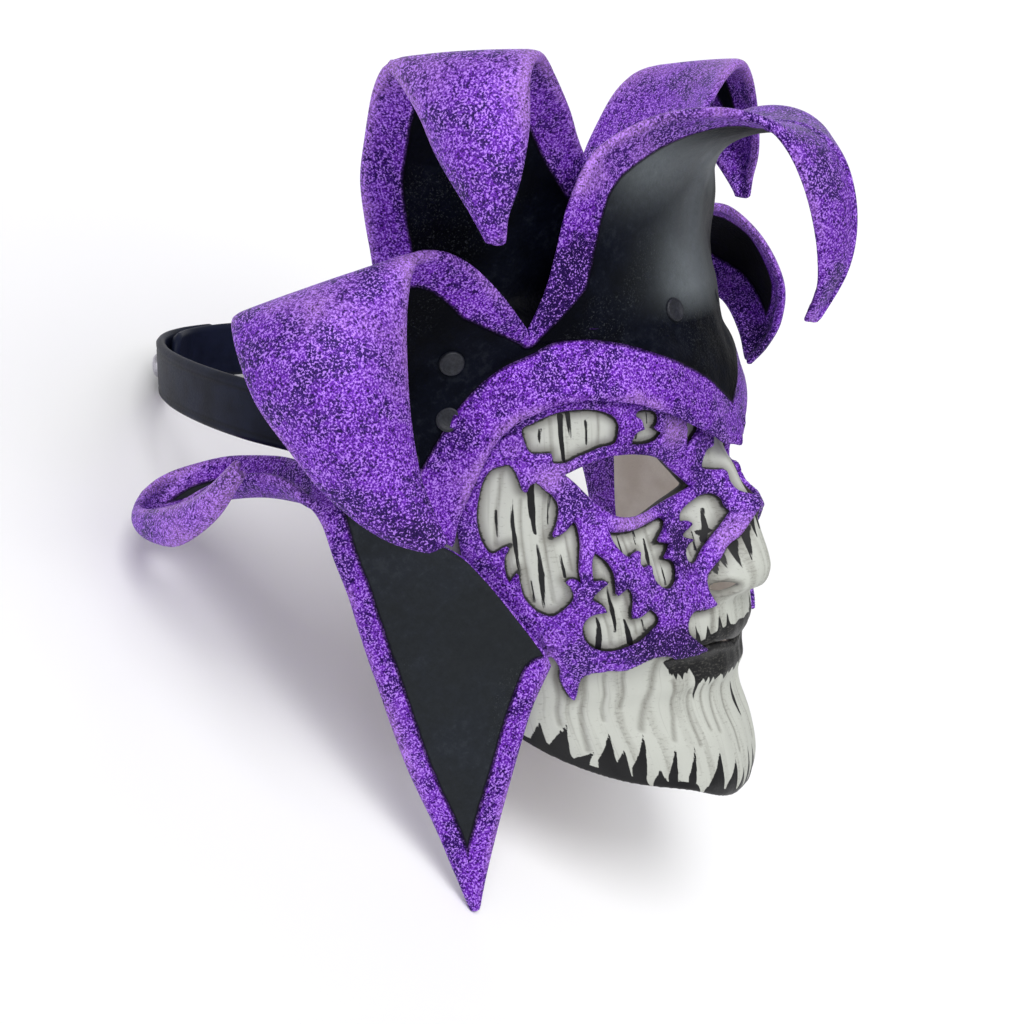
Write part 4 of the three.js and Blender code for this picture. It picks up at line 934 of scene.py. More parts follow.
# Soft lines of shade: the folds of the moulded cheek and chin, and beside the nostril
FOLDS = [
    [(71, -42, 2), (71, -63, 1)], [(62.7, -45, 2.5), (64, -58, 2), (66, -72, 1)],
    [(57, -46, 1.5), (58, -62, 0.8)], [(51, -44, 2), (52, -58, 1)],
    [(41.5, -40.7, 3.5), (40.9, -46, 3), (43, -53.6, 2.4), (44.5, -59.5, 2), (47.4, -66, 1)],
    [(34.8, -51, 2.4), (33.9, -55.4, 2.4), (35, -63.6, 2), (38, -70.7, 1)], [(27, -56, 2), (29, -74, 1)],
    [(15, -56.6, 2), (18, -71.3, 1)], [(21, -55, 1.5), (22, -70, 0.8)], [(8, -58, 2), (9, -80, 1)],
    [(19, -25, 4), (20, -31, 4.5), (22, -38, 3)], [(11, -25, 3), (16, -25.4, 5), (19, -24, 4)],
    [(80, 20, 1.5), (81.6, -2, 1)], [(68, 14, 1), (69, -20, 1.4)], [(74.6, 12, 1.2), (74.4, -20, 1.4)],
    [(62.4, 0, 1), (62.8, -10, 1.4)], [(57, -8, 1), (57.6, -20, 1), (57, -35, 1.4)],
    [(49.5, -18, 1), (49.4, -32, 1.2)], [(45, -2, 1), (44.6, -8, 1)], [(35.4, -1, 1), (35.8, -18, 1.4)],
    [(20, 2, 1), (20.4, -12, 1.2)], [(66, 36, 1.2), (66, 24, 1)], [(52, 37, 1), (52.6, 27, 1.4)],
]
# Flames up from the chin's edge: the side and height of the tip, the far foot and the near foot
FLAMES = [
    (76, -60.6, 80.4, -67.8, 76.4, -69), (77.6, -63, 80.4, -67.8, 78.4, -68.2),
    (68.4, -60.6, 74, -70.6, 71.2, -72.6), (70.8, -63.8, 76, -69.8, 72, -72.2),
    (64, -72.2, 70.8, -74.6, 67.2, -77), (57.6, -65.8, 64.4, -75.4, 59.2, -77),
    (55.2, -71, 59.6, -77.4, 56, -79), (47.2, -66.6, 55.2, -78.6, 51.6, -83),
    (46.4, -79.4, 49.6, -84.2, 45.2, -84.6), (38.4, -71.4, 44.4, -82.6, 41.2, -85),
    (31.2, -71.8, 37.2, -84.2, 34.8, -86.6), (21.6, -77.4, 29.2, -87.8, 20.8, -92.2),
    (13.6, -81.8, 19.6, -89.8, 12.4, -94.6), (8.4, -85.4, 11.6, -92.2, 6, -94),
    (2.6, -80, 5, -92, 0.4, -93)]
EDGE_STRIP = 3.4  # height of the black strip along the chin's edge
BARE_EDGE, BARE_REACH = (50.4, 43, 32), 1.2  # where that strip is bare
UPPER_LIP = closed([
    (-1, -37, 1), (4, -36.2), (8, -36.8), (11, -36, 1), (12.3, -31.7, 1), (13.4, -36, 1), (15.4, -36.5, 1),
    (17, -30.9, 1), (18.8, -36.4, 1), (21.8, -37.2, 1), (23.6, -33.3, 1), (24.6, -38, 1), (26.4, -38.4, 1),
    (28.6, -32.7, 1), (29, -38.5), (27.5, -40.8, 1), (24, -42, 1), (12, -43, 1), (-1, -46, 1)], 3)
LOWER_LIP = closed([
    (-1, -44, 1), (12, -42, 1), (24, -41, 1), (39.5, -43.2, 1), (37.4, -45.6), (36.4, -46.6, 1),
    (35.6, -49.8, 1), (34.8, -47.6, 1), (33.8, -51, 1), (32.8, -48.2, 1), (31.5, -51, 1),
    (30.4, -48.4, 1), (29.2, -49.4, 1),
    (28, -47.6, 1), (26.8, -49.8), (26, -53), (25.1, -61.3, 1), (24.4, -54, 1), (22.4, -52.2, 1),
    (20.9, -54.4, 1), (19.4, -52, 1), (18, -56.3, 1), (16.8, -53, 1), (15.4, -54.8, 1), (12, -53, 1),
    (9, -56, 1), (7.4, -53.2, 1), (5.6, -54.8, 1), (3, -53, 1), (1, -55.5, 1), (-1, -54, 1)], 3)


def flame(tip_side, tip_height, far_side, far_height, near_side, near_height, narrow=0.2):
    """A flame's outline: from 1 mm below the chin's edge up to its feet, drawn in towards
    the middle halfway up, and to its tip."""
    feet = np.array([(far_side, far_height), (near_side, near_height)])
    below = [(side, face_bottom_at(side) - 1) for side in (far_side + 0.8, near_side)]
    tip = np.array([tip_side, tip_height])
    waist = (feet + tip) / 2
    waist += (waist.mean(0) - waist) * narrow
    return np.array([below[0], feet[0], waist[0], tip, waist[1], feet[1], below[1]])


def lip_field(points):
    """Depth inside the lips' black."""
    return np.maximum(inside(both(points), UPPER_LIP), inside(both(points), LOWER_LIP))


def ink_field(points):
    """Depth inside the black: flames and a strip along the chin's edge, both lips, and
    single strokes."""
    near = both(points)
    above_edge = points[:, 1] - face_bottom_at(near[:, 0])
    bare = sum(bell(near[:, 0] - place, BARE_REACH) for place in BARE_EDGE)
    parts = [EDGE_STRIP - 4 * bare - above_edge, lip_field(points)]
    parts += [inside(near, flame(*one)) for one in FLAMES]
    parts += [stroke(near, *path) for path in STROKES]
    return np.maximum.reduce(parts)


def fold_field(points):
    """How close a line of shade is: 1 on a fold and 0 at its reach from it, and 1 inside a
    nostril and 0 at a reach from its rim."""
    near = both(points)
    shades = [ramp(lobe(near, *NOSTRIL), -NOSTRIL_SHADE, 0)]
    for path in FOLDS:
        line = [(side, height, 0) for side, height, _ in path]
        reach = 0.4 + 0.55 * path[0][2]
        shades.append(np.clip(1 + stroke(near, *line) / reach, 0, 1))
    return np.maximum.reduce(shades)


# %% [markdown]
# ## The moulded face
# Pleats run down the face, as wet leather dries in folds. They fade towards the edges and
# above the eyes, and the edges of the openings are rounded.

# %% The face
FACE_THICK = 3
FACE_CELL = 0.74
flat, triangles = cut_pattern(np.arange(-98, 98.01, FACE_CELL), np.arange(-100, 46, FACE_CELL), face_field)
depth = face_field(flat)
fold = fold_field(flat)
pleats = waves(flat * [1, 0.13], 9, 7) * 0.22 + waves(flat, 22, 9) * 0.2 - fold * 0.55
fade = ramp(depth, 0, 4) * np.maximum(ramp(flat[:, 1], 18, -2), 0.3)
skin_out = on_face(flat[:, 0], flat[:, 1], pleats * fade - rounded_edge(depth, 1.1))
skin_in = on_face(flat[:, 0], flat[:, 1], -FACE_THICK + np.zeros(len(flat)))
points, faces, source, skin = leather_solid(skin_out, skin_in, triangles, bulge=0.3)
chart_points = np.concatenate([flat[source], np.zeros((len(source), 1))], 1)
add_piece("moulded_face", points, faces, "bone_leather", ["face"], [bone, lining],
          material_of=(skin == 2).astype(int),
          attributes={"ink": ink_field(flat)[source], "lining": overlay_field(flat)[source],
                      "fold": fold[source], "lips": lip_field(flat)[source], "chart": chart_points})

# %% [markdown]
# ## The torn overlay
# A second leather lies over the face. It is cut open in ragged tears, so that only straps
# of purple remain round the eyes and over the cheeks. Its cut edges are rounded, which
# catches the light along every tear.

# %% The overlay
OVERLAY_GAP, OVERLAY_THICK = 1, 2
# Patches of painted light on the purple: side, height, both reaches and the change,
# which is above zero for a paler painted sheen and below zero for painted shade
OVERLAY_LIGHT_PATCHES = [(28, 31, 9, 6, 0.6), (42, 0, 12, 3.5, 0.3), (26, -6, 5, 8, -0.65), (84, -13, 6, 10, -0.55),
         (38, -36, 14, 7, -0.75), (60, -37, 12, 5, -0.4)]
OVERLAY_CELL = 0.55
flat, triangles = cut_pattern(np.arange(-93, 93.1, OVERLAY_CELL), np.arange(-54, 47, OVERLAY_CELL),
                              overlay_field)
depth = overlay_field(flat)
lumps = (waves(flat, 5, 21) * 0.1 + waves(flat, 16, 22) * 0.15) * ramp(depth, 0, 2)
skin_out = on_face(flat[:, 0], flat[:, 1],
                   OVERLAY_GAP + OVERLAY_THICK + lumps - 0.7 * rounded_edge(depth, 0.8))
skin_in = on_face(flat[:, 0], flat[:, 1], OVERLAY_GAP + np.zeros(len(flat)))
# A random tone, with the patches of painted sheen and painted shade on top
overlay_sheen_and_shade = waves(flat, 30, 23) * 0.3 - 0.12
for place, height, wide, tall, change in OVERLAY_LIGHT_PATCHES:
    overlay_sheen_and_shade += change * bell(np.abs(flat[:, 0]) - place, wide) * bell(flat[:, 1] - height, tall)
points, faces, source, skin = leather_solid(skin_out, skin_in, triangles, bulge=0.1)
add_piece("torn_overlay", points, faces, "purple_leather", ["overlay"], [purple, lining],
          material_of=(skin == 2).astype(int),
          attributes={"sheen_and_shade": overlay_sheen_and_shade[source]})

# %% [markdown]
# ## Curled leather
# Hat points and jaw pieces are sheets spanned between two edges, with a spine between them
# that the leather bulges along. All three are curves through a few stations from the root
# to the tip. The share is 1 at one edge, 0 on the spine and -1 at the other edge.

# %% Curled sheets
ROOT_TOP, ROOT_LEFT = 1, 2
ROWS_A_STATION = 10
STEP = 0.01


def curl(near, spine, far, columns, corners=(), root=None):
    """Rows of points. A free point is the spine, plus half the width times the share, plus
    the spine's distance from the edges' middle times the share squared. On the head the
    root's own formula holds, and a cubic bridges the next station in both directions."""
    last = len(spine) - 1
    t = steps(0, last, last * ROWS_A_STATION)[:, None]
    share = np.linspace(1, -1, columns + 1)[None, :]
    edge, middle, other = through(near, corners), through(spine), through(far, corners)

    def free(at):
        a, m, b = edge(at), middle(at), other(at)
        return m + (a - b) / 2 * share[..., None] + ((a + b) / 2 - m) * share[..., None] ** 2

    grid = free(t)
    if root is not None:
        top, left = np.full_like(t, ROOT_TOP), np.full_like(t, ROOT_LEFT)
        start, end = root(share, top), free(left)
        chord = np.linalg.norm(end - start, axis=-1, keepdims=True)
        leave = unit(start - root(share, top - STEP)) * chord
        arrive = unit(end - free(left - STEP)) * chord
        bridge = cubic(np.clip(t - ROOT_TOP, 0, 1)[..., None], start, leave, end, arrive)
        grid = np.where((t < ROOT_LEFT)[..., None], bridge, grid)
        grid = np.where((t <= ROOT_TOP)[..., None], root(share, np.minimum(t, ROOT_TOP)), grid)
    return grid, np.broadcast_to(share, grid.shape[:2]), np.broadcast_to(t, grid.shape[:2])


def handed(curled, hand):
    """A curled sheet made for the right (hand 1), on either side. Its columns then run from
    the wearer's right to the left on both, so that sheets can be joined."""
    turned = [part[:, ::-1] if hand == 1 else part for part in curled]
    return (turned[0] * [1, hand, 1], *turned[1:])


def joined(sheets, anchor):
    """Curled sheets as one outer skin, welded where they share an edge. It faces away from
    the head at the anchor, a point on its outer side. Gives points, triangles, normals, and
    share, station and sheet number of each point."""
    points = np.concatenate([sheet[0].reshape(-1, 3) for sheet in sheets])
    marks = np.concatenate([np.stack([sheet[1].ravel(), sheet[2].ravel(), np.full(sheet[1].size, k)], 1)
                            for k, sheet in enumerate(sheets)])
    starts = np.cumsum([0] + [sheet[1].size for sheet in sheets])
    cells = np.concatenate([grid_triangles(*sheet[1].shape, start) for sheet, start in zip(sheets, starts)])
    first, triangles = weld(points, cells)
    points, marks = points[first], marks[first]
    normals = point_normals(points, triangles)
    held = np.argmin(((points - anchor) ** 2).sum(1))
    if normals[held] @ points[held] < 0:
        triangles, normals = triangles[:, ::-1], -normals
    return points, triangles, normals, marks


# %% [markdown]
# ## The hat's front leather
# One leather makes the middle point and both side points. It wraps the forehead as a brow
# band, 15 mm wide and purple, and splits at two notches into its points. The middle one
# curls forward over the brow, and the side ones fold outwards over their crests.

# %% Brow band and notches
HAT_THICK, HAT_OFF, BAND_WIDTH, BORDER, JAW_BORDER, NOTCH_BORDER = 3, 7.4, 15, 11.5, 7, 3
band_edge_at = profile([(0, 17.5), (13, 27), (24.5, 32.5), (36.5, 37), (46, 39.5), (58, 41), (66, 40),
                        (74, 36.5)])
NOTCH_SIDE = 70
NOTCH = (65, 65.8, 60.8)
NOTCH_EDGE = float(band_edge_at(NOTCH_SIDE))
TEMPLE = [(92.5, 0), (91, 8), (88, 16.5), (84.5, 25), (80.5, 31.5), (75.5, 36), (NOTCH_SIDE, NOTCH_EDGE)]
temple_edge = through(TEMPLE)


def on_hat(side, height):
    return tuple(on_face(side, height, HAT_OFF))


def middle_root(share, t):
    """On the forehead: sideways by the share, upwards from the band's lower edge."""
    side = share * NOTCH_SIDE
    return on_face(side, band_edge_at(np.abs(side)) + BAND_WIDTH * t, HAT_OFF)


def temple_root(share, t):
    """On the temple: the band's edge turns downwards, and its rows lean with it."""
    low = temple_edge((share + 1) / 2 * (len(TEMPLE) - 1))
    lean = np.radians(45 + 22.5 * (share + 1))
    return on_face(low[..., 0] + BAND_WIDTH * t * np.cos(lean), low[..., 1] + BAND_WIDTH * t * np.sin(lean),
                   HAT_OFF)


# %% Front hat stations
NOTCH_RIB = [on_hat(NOTCH_SIDE, NOTCH_EDGE), on_hat(NOTCH_SIDE, NOTCH_EDGE + BAND_WIDTH), NOTCH]
MIDDLE_EDGE = NOTCH_RIB + [
    (70.3, 64, 73.2), (72.6, 61, 84.5), (76.4, 60.6, 99), (80.1, 52, 112.5), (91.6, 42, 121),
    (103.9, 34, 123.8), (115.5, 28, 122.8), (124, 23, 118), (130.5, 19, 106.8), (134.6, 15, 91),
    (134.6, 9, 75.4), (129.3, 2, 63.3)]
MIDDLE_SPINE = [on_hat(0, 17.5), on_hat(0, 32.5)] + [
    (98.4, 0, 58), (94.6, 0, 69), (92.2, 0, 79.5), (91, 0, 90), (92, 0, 101), (95.8, 0, 110.5),
    (104, 0, 116.5), (116, 0, 118.5), (127.5, 0, 116.5), (136, 0, 108), (139.7, 0, 94), (138, 0, 79),
    (129.7, 0, 63)]
SIDE_NEAR = NOTCH_RIB + [
    (62.5, 80, 73), (57, 89, 82.5), (52, 97.5, 86.5), (47.7, 105, 84.6), (47.2, 110, 75.9),
    (48.5, 114, 62.9), (51.6, 118, 44.7), (56.3, 121, 29.2), (61.8, 122, 18.3), (65.1, 122, 13.1)]
SIDE_SPINE = [on_hat(85, 24), on_hat(94, 35)] + [
    (43.5, 80, 43.5), (37, 86.5, 53.5), (31.5, 96, 63.8), (28.5, 107, 73.5), (28, 121, 77.5),
    (32, 132, 70), (38.5, 135, 57), (44, 135, 43), (50, 131.5, 28.5), (57, 127.5, 17.5),
    (63.7, 123.4, 12.3)]
SIDE_FAR = [on_hat(92.5, 0), on_hat(103, 10.6)] + [
    (20, 89, 24), (12, 98, 35), (6, 107, 47), (2, 118, 60), (6, 128, 69), (12, 134, 62),
    (18.3, 136, 50.5), (26.7, 136, 40.4), (36.9, 133, 27), (50, 129, 16.5), (62.2, 124, 11.9)]
# The left side point is curled further forward than the right one
LEFT_NEAR = NOTCH_RIB + [
    (63.5, 79, 72), (60.5, 88, 80.5), (58, 96.5, 85), (60, 104, 86.5), (68, 109, 85.5), (79, 113, 74),
    (86, 115.5, 58.5), (84.5, 118, 45), (79, 119.5, 35), (73.5, 120, 28.8)]
LEFT_SPINE = SIDE_SPINE[:3] + [
    (37.5, 86.5, 53.5), (33.5, 96, 63.5), (33, 106.5, 73), (36, 120.5, 78.5), (46, 131, 78),
    (60, 134.5, 71.5), (71, 134, 59.5), (76.5, 130, 48), (76.5, 126, 38), (73.3, 121.3, 29)]
LEFT_FAR = SIDE_FAR[:4] + [
    (6.5, 107, 47), (4.5, 117, 59), (12, 127, 68), (22, 133, 67.5), (36, 136.3, 63), (49, 134.8, 56.5),
    (60.5, 131.5, 50.5), (68.5, 127, 39.5), (72.8, 122, 29.5)]
middle = curl(MIDDLE_EDGE, MIDDLE_SPINE, [(f, -r, u) for f, r, u in MIDDLE_EDGE], 84, (2,), middle_root)
side = curl(SIDE_NEAR, SIDE_SPINE, SIDE_FAR, 54, (2,), temple_root)
left_side = curl(LEFT_NEAR, LEFT_SPINE, LEFT_FAR, 54, (2,), temple_root)


# %% [markdown]
# ## Thickness, border and painted light
# A curled sheet gets its thickness, soft lumps, a slightly beaded edge and its paint marks.
# The purple border is a distance from the edge, and it narrows below the notches. The
# middle point has a ridge on its reverse, and its black front is painted a grey sheen, a
# painted reflection. The purple is painted paler as a sheen near crests and rims, and darker
# as painted shade in places.

# %% A curled leather with its paint
# How much painted reflection greys the jaw pieces' black
JAW_REFLECTION = 0.09


def front_paint(points, share, station, middle):
    """Marks of the front leather, each from 0 to about 1: how near a notch a point is, how
    near the middle point's ridge, how much painted shade darkens the purple, and how much a
    painted reflection greys the black."""
    at_notch = (middle | (share > 0)) * ramp(station, 3.2, 2)
    ridge = bell(share, 0.07) * ramp(station, 7, 8) * middle
    # Painted shade on the purple of the middle point and of the side points
    painted_shade = middle * ramp(station, 5.5, 4) * ramp(station, 1.8, 2.4)
    painted_shade += ~middle * (ramp(station, 9.6, 11.1) + bell(station - 7.2, 0.8) * np.clip(-share, 0, 1))
    # The painted reflection runs down the middle point's front and over its crest
    front = bell(share, 0.34) * ramp(station, 2.2, 3.2) * ramp(station, 8, 7)
    crest = bell(station - 6.6, 1.1) * np.clip(1.3 - np.abs(share), 0, 1)
    patchy_reflection = np.clip(0.9 + waves(points, 30, 5) * 0.2, 0, 1)
    return at_notch, ridge, painted_shade, np.maximum(front, crest) * middle * patchy_reflection


def add_curled(name, sheets, anchor, node, plain, crests, seed):
    """Thickens a skin downwards along its normals. plain says which edge points have no
    purple border beside them, and crests are stations where the leather folds over."""
    points, triangles, normals, marks = joined(sheets, anchor)
    share, station, sheet = marks.T
    rim = np.unique(boundary(triangles, len(points)))
    from_rim = nearest(points, points[rim])
    panel = nearest(points, points[rim[~plain(marks[rim])]]) - (JAW_BORDER if "jaw" in node else BORDER)
    ridge, painted_shade, painted_reflection = 0, 0, np.full(len(points), JAW_REFLECTION if "jaw" in node else 0.0)
    if node == "hat_front":
        at_notch, ridge, painted_shade, painted_reflection = front_paint(points, share, station, sheet == 1)
        panel = np.minimum(panel + (BORDER - NOTCH_BORDER) * at_notch, (station - ROOT_TOP) * BAND_WIDTH)
    lumps = waves(points, 9, seed) * 0.12 + waves(points, 26, seed + 1) * 0.5
    bead = bell(from_rim - 1.2, 1.0) * (0.35 + 0.3 * waves(points, 4, seed + 2))
    skin_out = points + normals * (lumps * np.clip(from_rim / 6, 0.25, 1) + bead)[:, None]
    skin_in = points - normals * (HAT_THICK - 0.5 * bell(from_rim, 1.2) + 0.9 * ridge)[:, None]
    solid, faces, source, skin = leather_solid(skin_out, skin_in, triangles, bulge=1.1)
    # Paler purple near the crests and the rim is painted sheen, and darker purple is painted shade
    fold = sum(bell(station - at, 1.6) for at in crests)
    sheen_and_shade = 0.25 * bell(from_rim, 2.0) + 0.35 * fold + waves(points, 30, seed + 3) * 0.12 - 0.12 - 0.75 * painted_shade
    on_top = np.arange(len(solid)) < len(points)
    add_piece(name, solid, faces, "black_leather", [node], [outer, purple],
              {"panel": np.where(on_top, panel[source], -BORDER), "sheen_and_shade": sheen_and_shade[source],
               "painted_reflection": painted_reflection[source]}, (skin == 2).astype(int))


def band_edge(marks):
    return marks[:, 1] < 0.01


add_curled("hat_front_leather", [handed(side, 1), middle, handed(left_side, -1)], on_hat(0, 30), "hat_front",
           band_edge, crests=(6.5,), seed=31)

# %% [markdown]
# ## The hat's rear leather
# A second leather sits behind the first one and makes the two rear points. They rise
# behind the middle point and fold outwards as the side points do.

# %% Rear hat
REAR_LOW, REAR_SIDE, REAR_OFF = 48, 98, 2


def rear_off(side, height):
    return REAR_OFF + 0.2 * (height - REAR_LOW) + 6 * (side / REAR_SIDE) ** 6


def rear_root(share, t):
    """On the head: sideways from the middle by the share, upwards from its low edge."""
    across = (1 - share) / 2 * REAR_SIDE + 0 * t
    height = REAR_LOW + 12 * t + 0 * share
    return on_face(across, height, rear_off(across, height))


def rear_place(side, height):
    return tuple(on_face(side, height, rear_off(side, height)))


REAR_NEAR = [rear_place(0, REAR_LOW), rear_place(0, REAR_LOW + 14)] + [
    (84, 0, 78), (80.5, 14, 88), (76.5, 29, 98), (74, 41, 107.5), (73.5, 50, 115.5), (75, 62, 124.5),
    (76, 75, 133.3), (77.4, 87, 138.6), (77.6, 96, 134.5), (78.8, 100, 120.9), (78, 104, 108.2),
    (75.5, 106, 99.2), (74.6, 106, 92.7)]
REAR_SPINE = [rear_place(52, REAR_LOW), rear_place(52, REAR_LOW + 14)] + [
    (64, 48, 72), (62, 51, 82), (60, 57, 92), (58, 64, 103), (56.5, 71, 113), (56, 80, 124), (56, 88, 133),
    (57, 97, 138), (60, 104, 134), (65, 108, 123.5), (69, 109.5, 112), (72, 108.5, 101),
    (73.8, 106.8, 92.6)]
REAR_FAR = [rear_place(REAR_SIDE, REAR_LOW), rear_place(REAR_SIDE, REAR_LOW + 10)] + [
    (20.5, 76, 66), (20.5, 76, 74), (20, 77, 83), (19.4, 79.5, 94), (20.5, 83.5, 106), (24.5, 87.5, 118),
    (29.5, 92, 129), (36, 97, 135.6), (42.5, 100.5, 135.4), (51.7, 104, 125.9), (58.1, 105, 114.3),
    (67.3, 106, 101.6), (73, 106.3, 93.4)]
rear = curl(REAR_NEAR, REAR_SPINE, REAR_FAR, 54, (2,), rear_root)
add_curled("hat_rear_leather", [handed(rear, 1), handed(rear, -1)], rear_place(52, REAR_LOW), "hat_rear",
           band_edge, crests=(9,), seed=51)

# %% [markdown]
# ## Jaw pieces
# Each jaw piece is one leather: a long point below the jaw, the width over the cheek, and
# behind the ear a scroll whose end is rolled round. Where it meets the cheek its black runs
# up to the edge, and elsewhere it has the purple border.

# %% Jaw pieces
JAW_NEAR = [
    (-5, 113, 25.5), (-18, 113.5, 14.5), (-37, 107, 7), (-53, 97, 3.4), (-59, 86, 5.5), (-59.5, 78, 8.3),
    (-55, 70, 11.5), (-44, 66, 14.9), (-33, 66, 16.6), (-19, 70, 18), (-4, 78, 18), (10, 84, 15),
    (28, 85.5, 6), (46.5, 80.5, -2.5), (54.6, 78, -10), (62.5, 74, -21), (70, 68, -34),
    (71.8, 66, -39.3), (66.5, 68, -53), (62.8, 71, -68.9), (59.8, 76, -86), (57, 80, -102.9),
    (55, 82, -115.5)]
JAW_SPINE = [
    (-5, 113.8, 24.8), (-16, 115.5, 12.5), (-33, 111, 3.5), (-48.5, 102, 0.5), (-57.5, 90, 1),
    (-58.5, 80, 2), (-53, 75.5, 3.5), (-43, 74, 6), (-32, 75.5, 8.5), (-19, 78, 10.5), (-6, 82.5, 11.5),
    (6, 88.5, 12), (19, 91, 7.5), (30, 89.5, -3), (37, 87.5, -12.5), (43, 85, -24), (48.5, 81.5, -35),
    (50.5, 80.5, -41), (50, 81, -54), (50, 81.5, -70), (51.5, 82, -87), (52.5, 82.5, -103.5),
    (53.8, 82.3, -116)]
JAW_FAR = [
    (-5.5, 113, 24), (-14, 114, 11), (-28, 111, 1), (-41.5, 104, -1.1), (-52, 94, -1.5), (-54, 87, 0),
    (-50, 84, 3), (-40, 85, 9), (-29, 87, 14), (-16, 88.5, 17.5), (-5, 90, 17.2), (4, 92.5, 13.5),
    (10.5, 94, 6), (14.5, 94, -5), (18.5, 93, -16), (21.5, 92, -27), (24, 91, -36), (26, 90.5, -42),
    (30, 89, -56), (35, 87, -72), (42, 84.5, -89), (47.4, 82.8, -104), (52.5, 82, -116.5)]
CHEEK_EDGE = (11, 17.2)  # the near edge's stations without a border
jaw = curl(JAW_NEAR, JAW_SPINE, JAW_FAR, 44, (17,))


def cheek_edge(marks):
    return (marks[:, 0] > 0.99) & (marks[:, 1] > CHEEK_EDGE[0]) & (marks[:, 1] < CHEEK_EDGE[1])


for word, hand in (("right", 1), ("left", -1)):
    add_curled(f"jaw_leather_{word}", [handed(jaw, hand)], np.array([48.5, 81.5 * hand, -35]), f"jaw_{word}",
               cheek_edge, crests=(1, 5), seed=71)

# %% [markdown]
# ## The head strap
# Two ends of smooth blue-black strap leather run round the back of the head, where a snap
# joins them. Its section is a flat rectangle with rounded corners, and a crease is pressed
# in along both edges. The section is carried along the path between the strap's edges.

# %% Strap
STRAP_THICK = 3.2
STRAP_OFF = 0.6 + STRAP_THICK
CREASE_IN = 2.6  # how far in from the edges the creases run
strap_paint = Finish("strap_leather", Metallic=0.0, Specular_IOR_Level=0.08)
spot = strap_paint.place()
cloud = strap_paint.noise(spot, 14, 3.0)
pores = strap_paint.noise(spot, 0.9, 3.0, 0.7)
crease = strap_paint.attribute("crease")
colour = strap_paint.mix((cloud + pores * 0.2).rise(0.45, 0.75), (0.003, 0.0045, 0.012),
                         (0.008, 0.011, 0.026))
colour = strap_paint.mix(crease * 0.8, colour, (0.002, 0.002, 0.003))
strap_paint.wear(Base_Color=colour, Roughness=0.34 + pores * 0.25,
                 Normal=strap_paint.bump(pores * 0.3 - crease * 1.2, 0.3, 0.6))

STRAP_FRONT = [(95, 22.5), (103, 24.5), (115, 27.5)]
STRAP_ROUND = [(-3, 81, 32), (-31, 75, 34), (-60, 60, 35)]
STRAP_ENDS = {
    "right": (1, STRAP_ROUND + [(-85, 40.5, 35.5), (-101.5, 20, 36), (-107, 0, 36), (-101.5, -20, 36)]),
    "left": (-1, STRAP_ROUND + [(-82, 39, 35.5), (-97.5, 18.8, 36), (-102.8, 0, 36), (-97.5, -18.8, 36)])}


def strap_sheet(stations, hand):
    """Rows across a strap: from its upper edge to its lower one, straight. Its last end is
    rounded, by moving each row's places back along the strap as a circle does."""
    def edge(rise):
        return through([*(tuple(on_face(side, height + rise, STRAP_OFF)) for side, height in STRAP_FRONT),
                        *((f, r, u + rise) for f, r, u in stations)])
    upper, lower = edge(STRAP_WIDTH / 2), edge(-STRAP_WIDTH / 2)
    last = len(STRAP_FRONT) + len(stations) - 1
    share = np.linspace(1, -1, 21)[None, :]
    t = steps(0, last, last * 24)[:, None]
    shorter = STRAP_WIDTH / 2 * (1 - np.sqrt(1 - np.clip(np.abs(share), 0, 0.995) ** 2))
    end_speed = np.linalg.norm(upper(last - 0.01) - upper(last)) / 0.01
    t = t - shorter / end_speed * np.clip(t - last + 1, 0, 1) * 0.8
    grid = (upper(t) + lower(t)) / 2 + (upper(t) - lower(t)) / 2 * share[..., None]
    return grid * [1, hand, 1], np.broadcast_to(share, t.shape), t


for word, (hand, stations) in STRAP_ENDS.items():
    sheet = strap_sheet(stations, hand)
    points, triangles, normals, marks = joined([sheet], sheet[0][60, 0])
    rim = np.unique(boundary(triangles, len(points)))
    from_rim = nearest(points, points[rim])
    rounding = 0.8 * rounded_edge(from_rim, 1)
    crease = bell(from_rim - CREASE_IN, 0.35)
    skin_out = points - normals * (rounding + 0.3 * crease)[:, None]
    skin_in = points - normals * (STRAP_THICK - rounding)[:, None]
    solid, faces, source, skin = leather_solid(skin_out, skin_in, triangles, bulge=0.35)
    on_top = np.arange(len(solid)) < len(points)
    add_piece(f"strap_leather_{word}", solid, faces, "strap_leather", [f"strap_{word}"], [strap_paint],
              attributes={"crease": crease[source] * on_top})

# %% [markdown]
# ## Rivets, studs and the snap
# A rivet's cap outside and its washer inside are turned parts: one outline spun round the
# rivet's axis. The CAD rivet says where the axis is: its points are spread evenly round it,
# so it is the one direction of their spread that has no equal.

# %% Rivet finishes
painted_cap = Finish("painted_cap", Metallic=0.2)
spot = painted_cap.place()
chips = painted_cap.noise(spot, 0.8, 4.0, 0.7)
colour = painted_cap.mix(chips.rise(0.35, 0.75), (0.006, 0.007, 0.013), (0.022, 0.025, 0.035))
painted_cap.wear(Base_Color=colour, Roughness=0.34 + chips * 0.2, Normal=painted_cap.bump(chips, 0.2, 0.5))

silver = Finish("worn_silver", Metallic=1.0)
scratch = silver.noise(silver.place((1, 1, 6)), 0.7, 4.0, 0.7)
silver.wear(Base_Color=silver.mix(scratch.rise(0.3, 0.8), (0.32, 0.31, 0.36), (0.72, 0.71, 0.75)),
            Roughness=0.2 + scratch * 0.25, Normal=silver.bump(scratch, 0.1, 0.4))


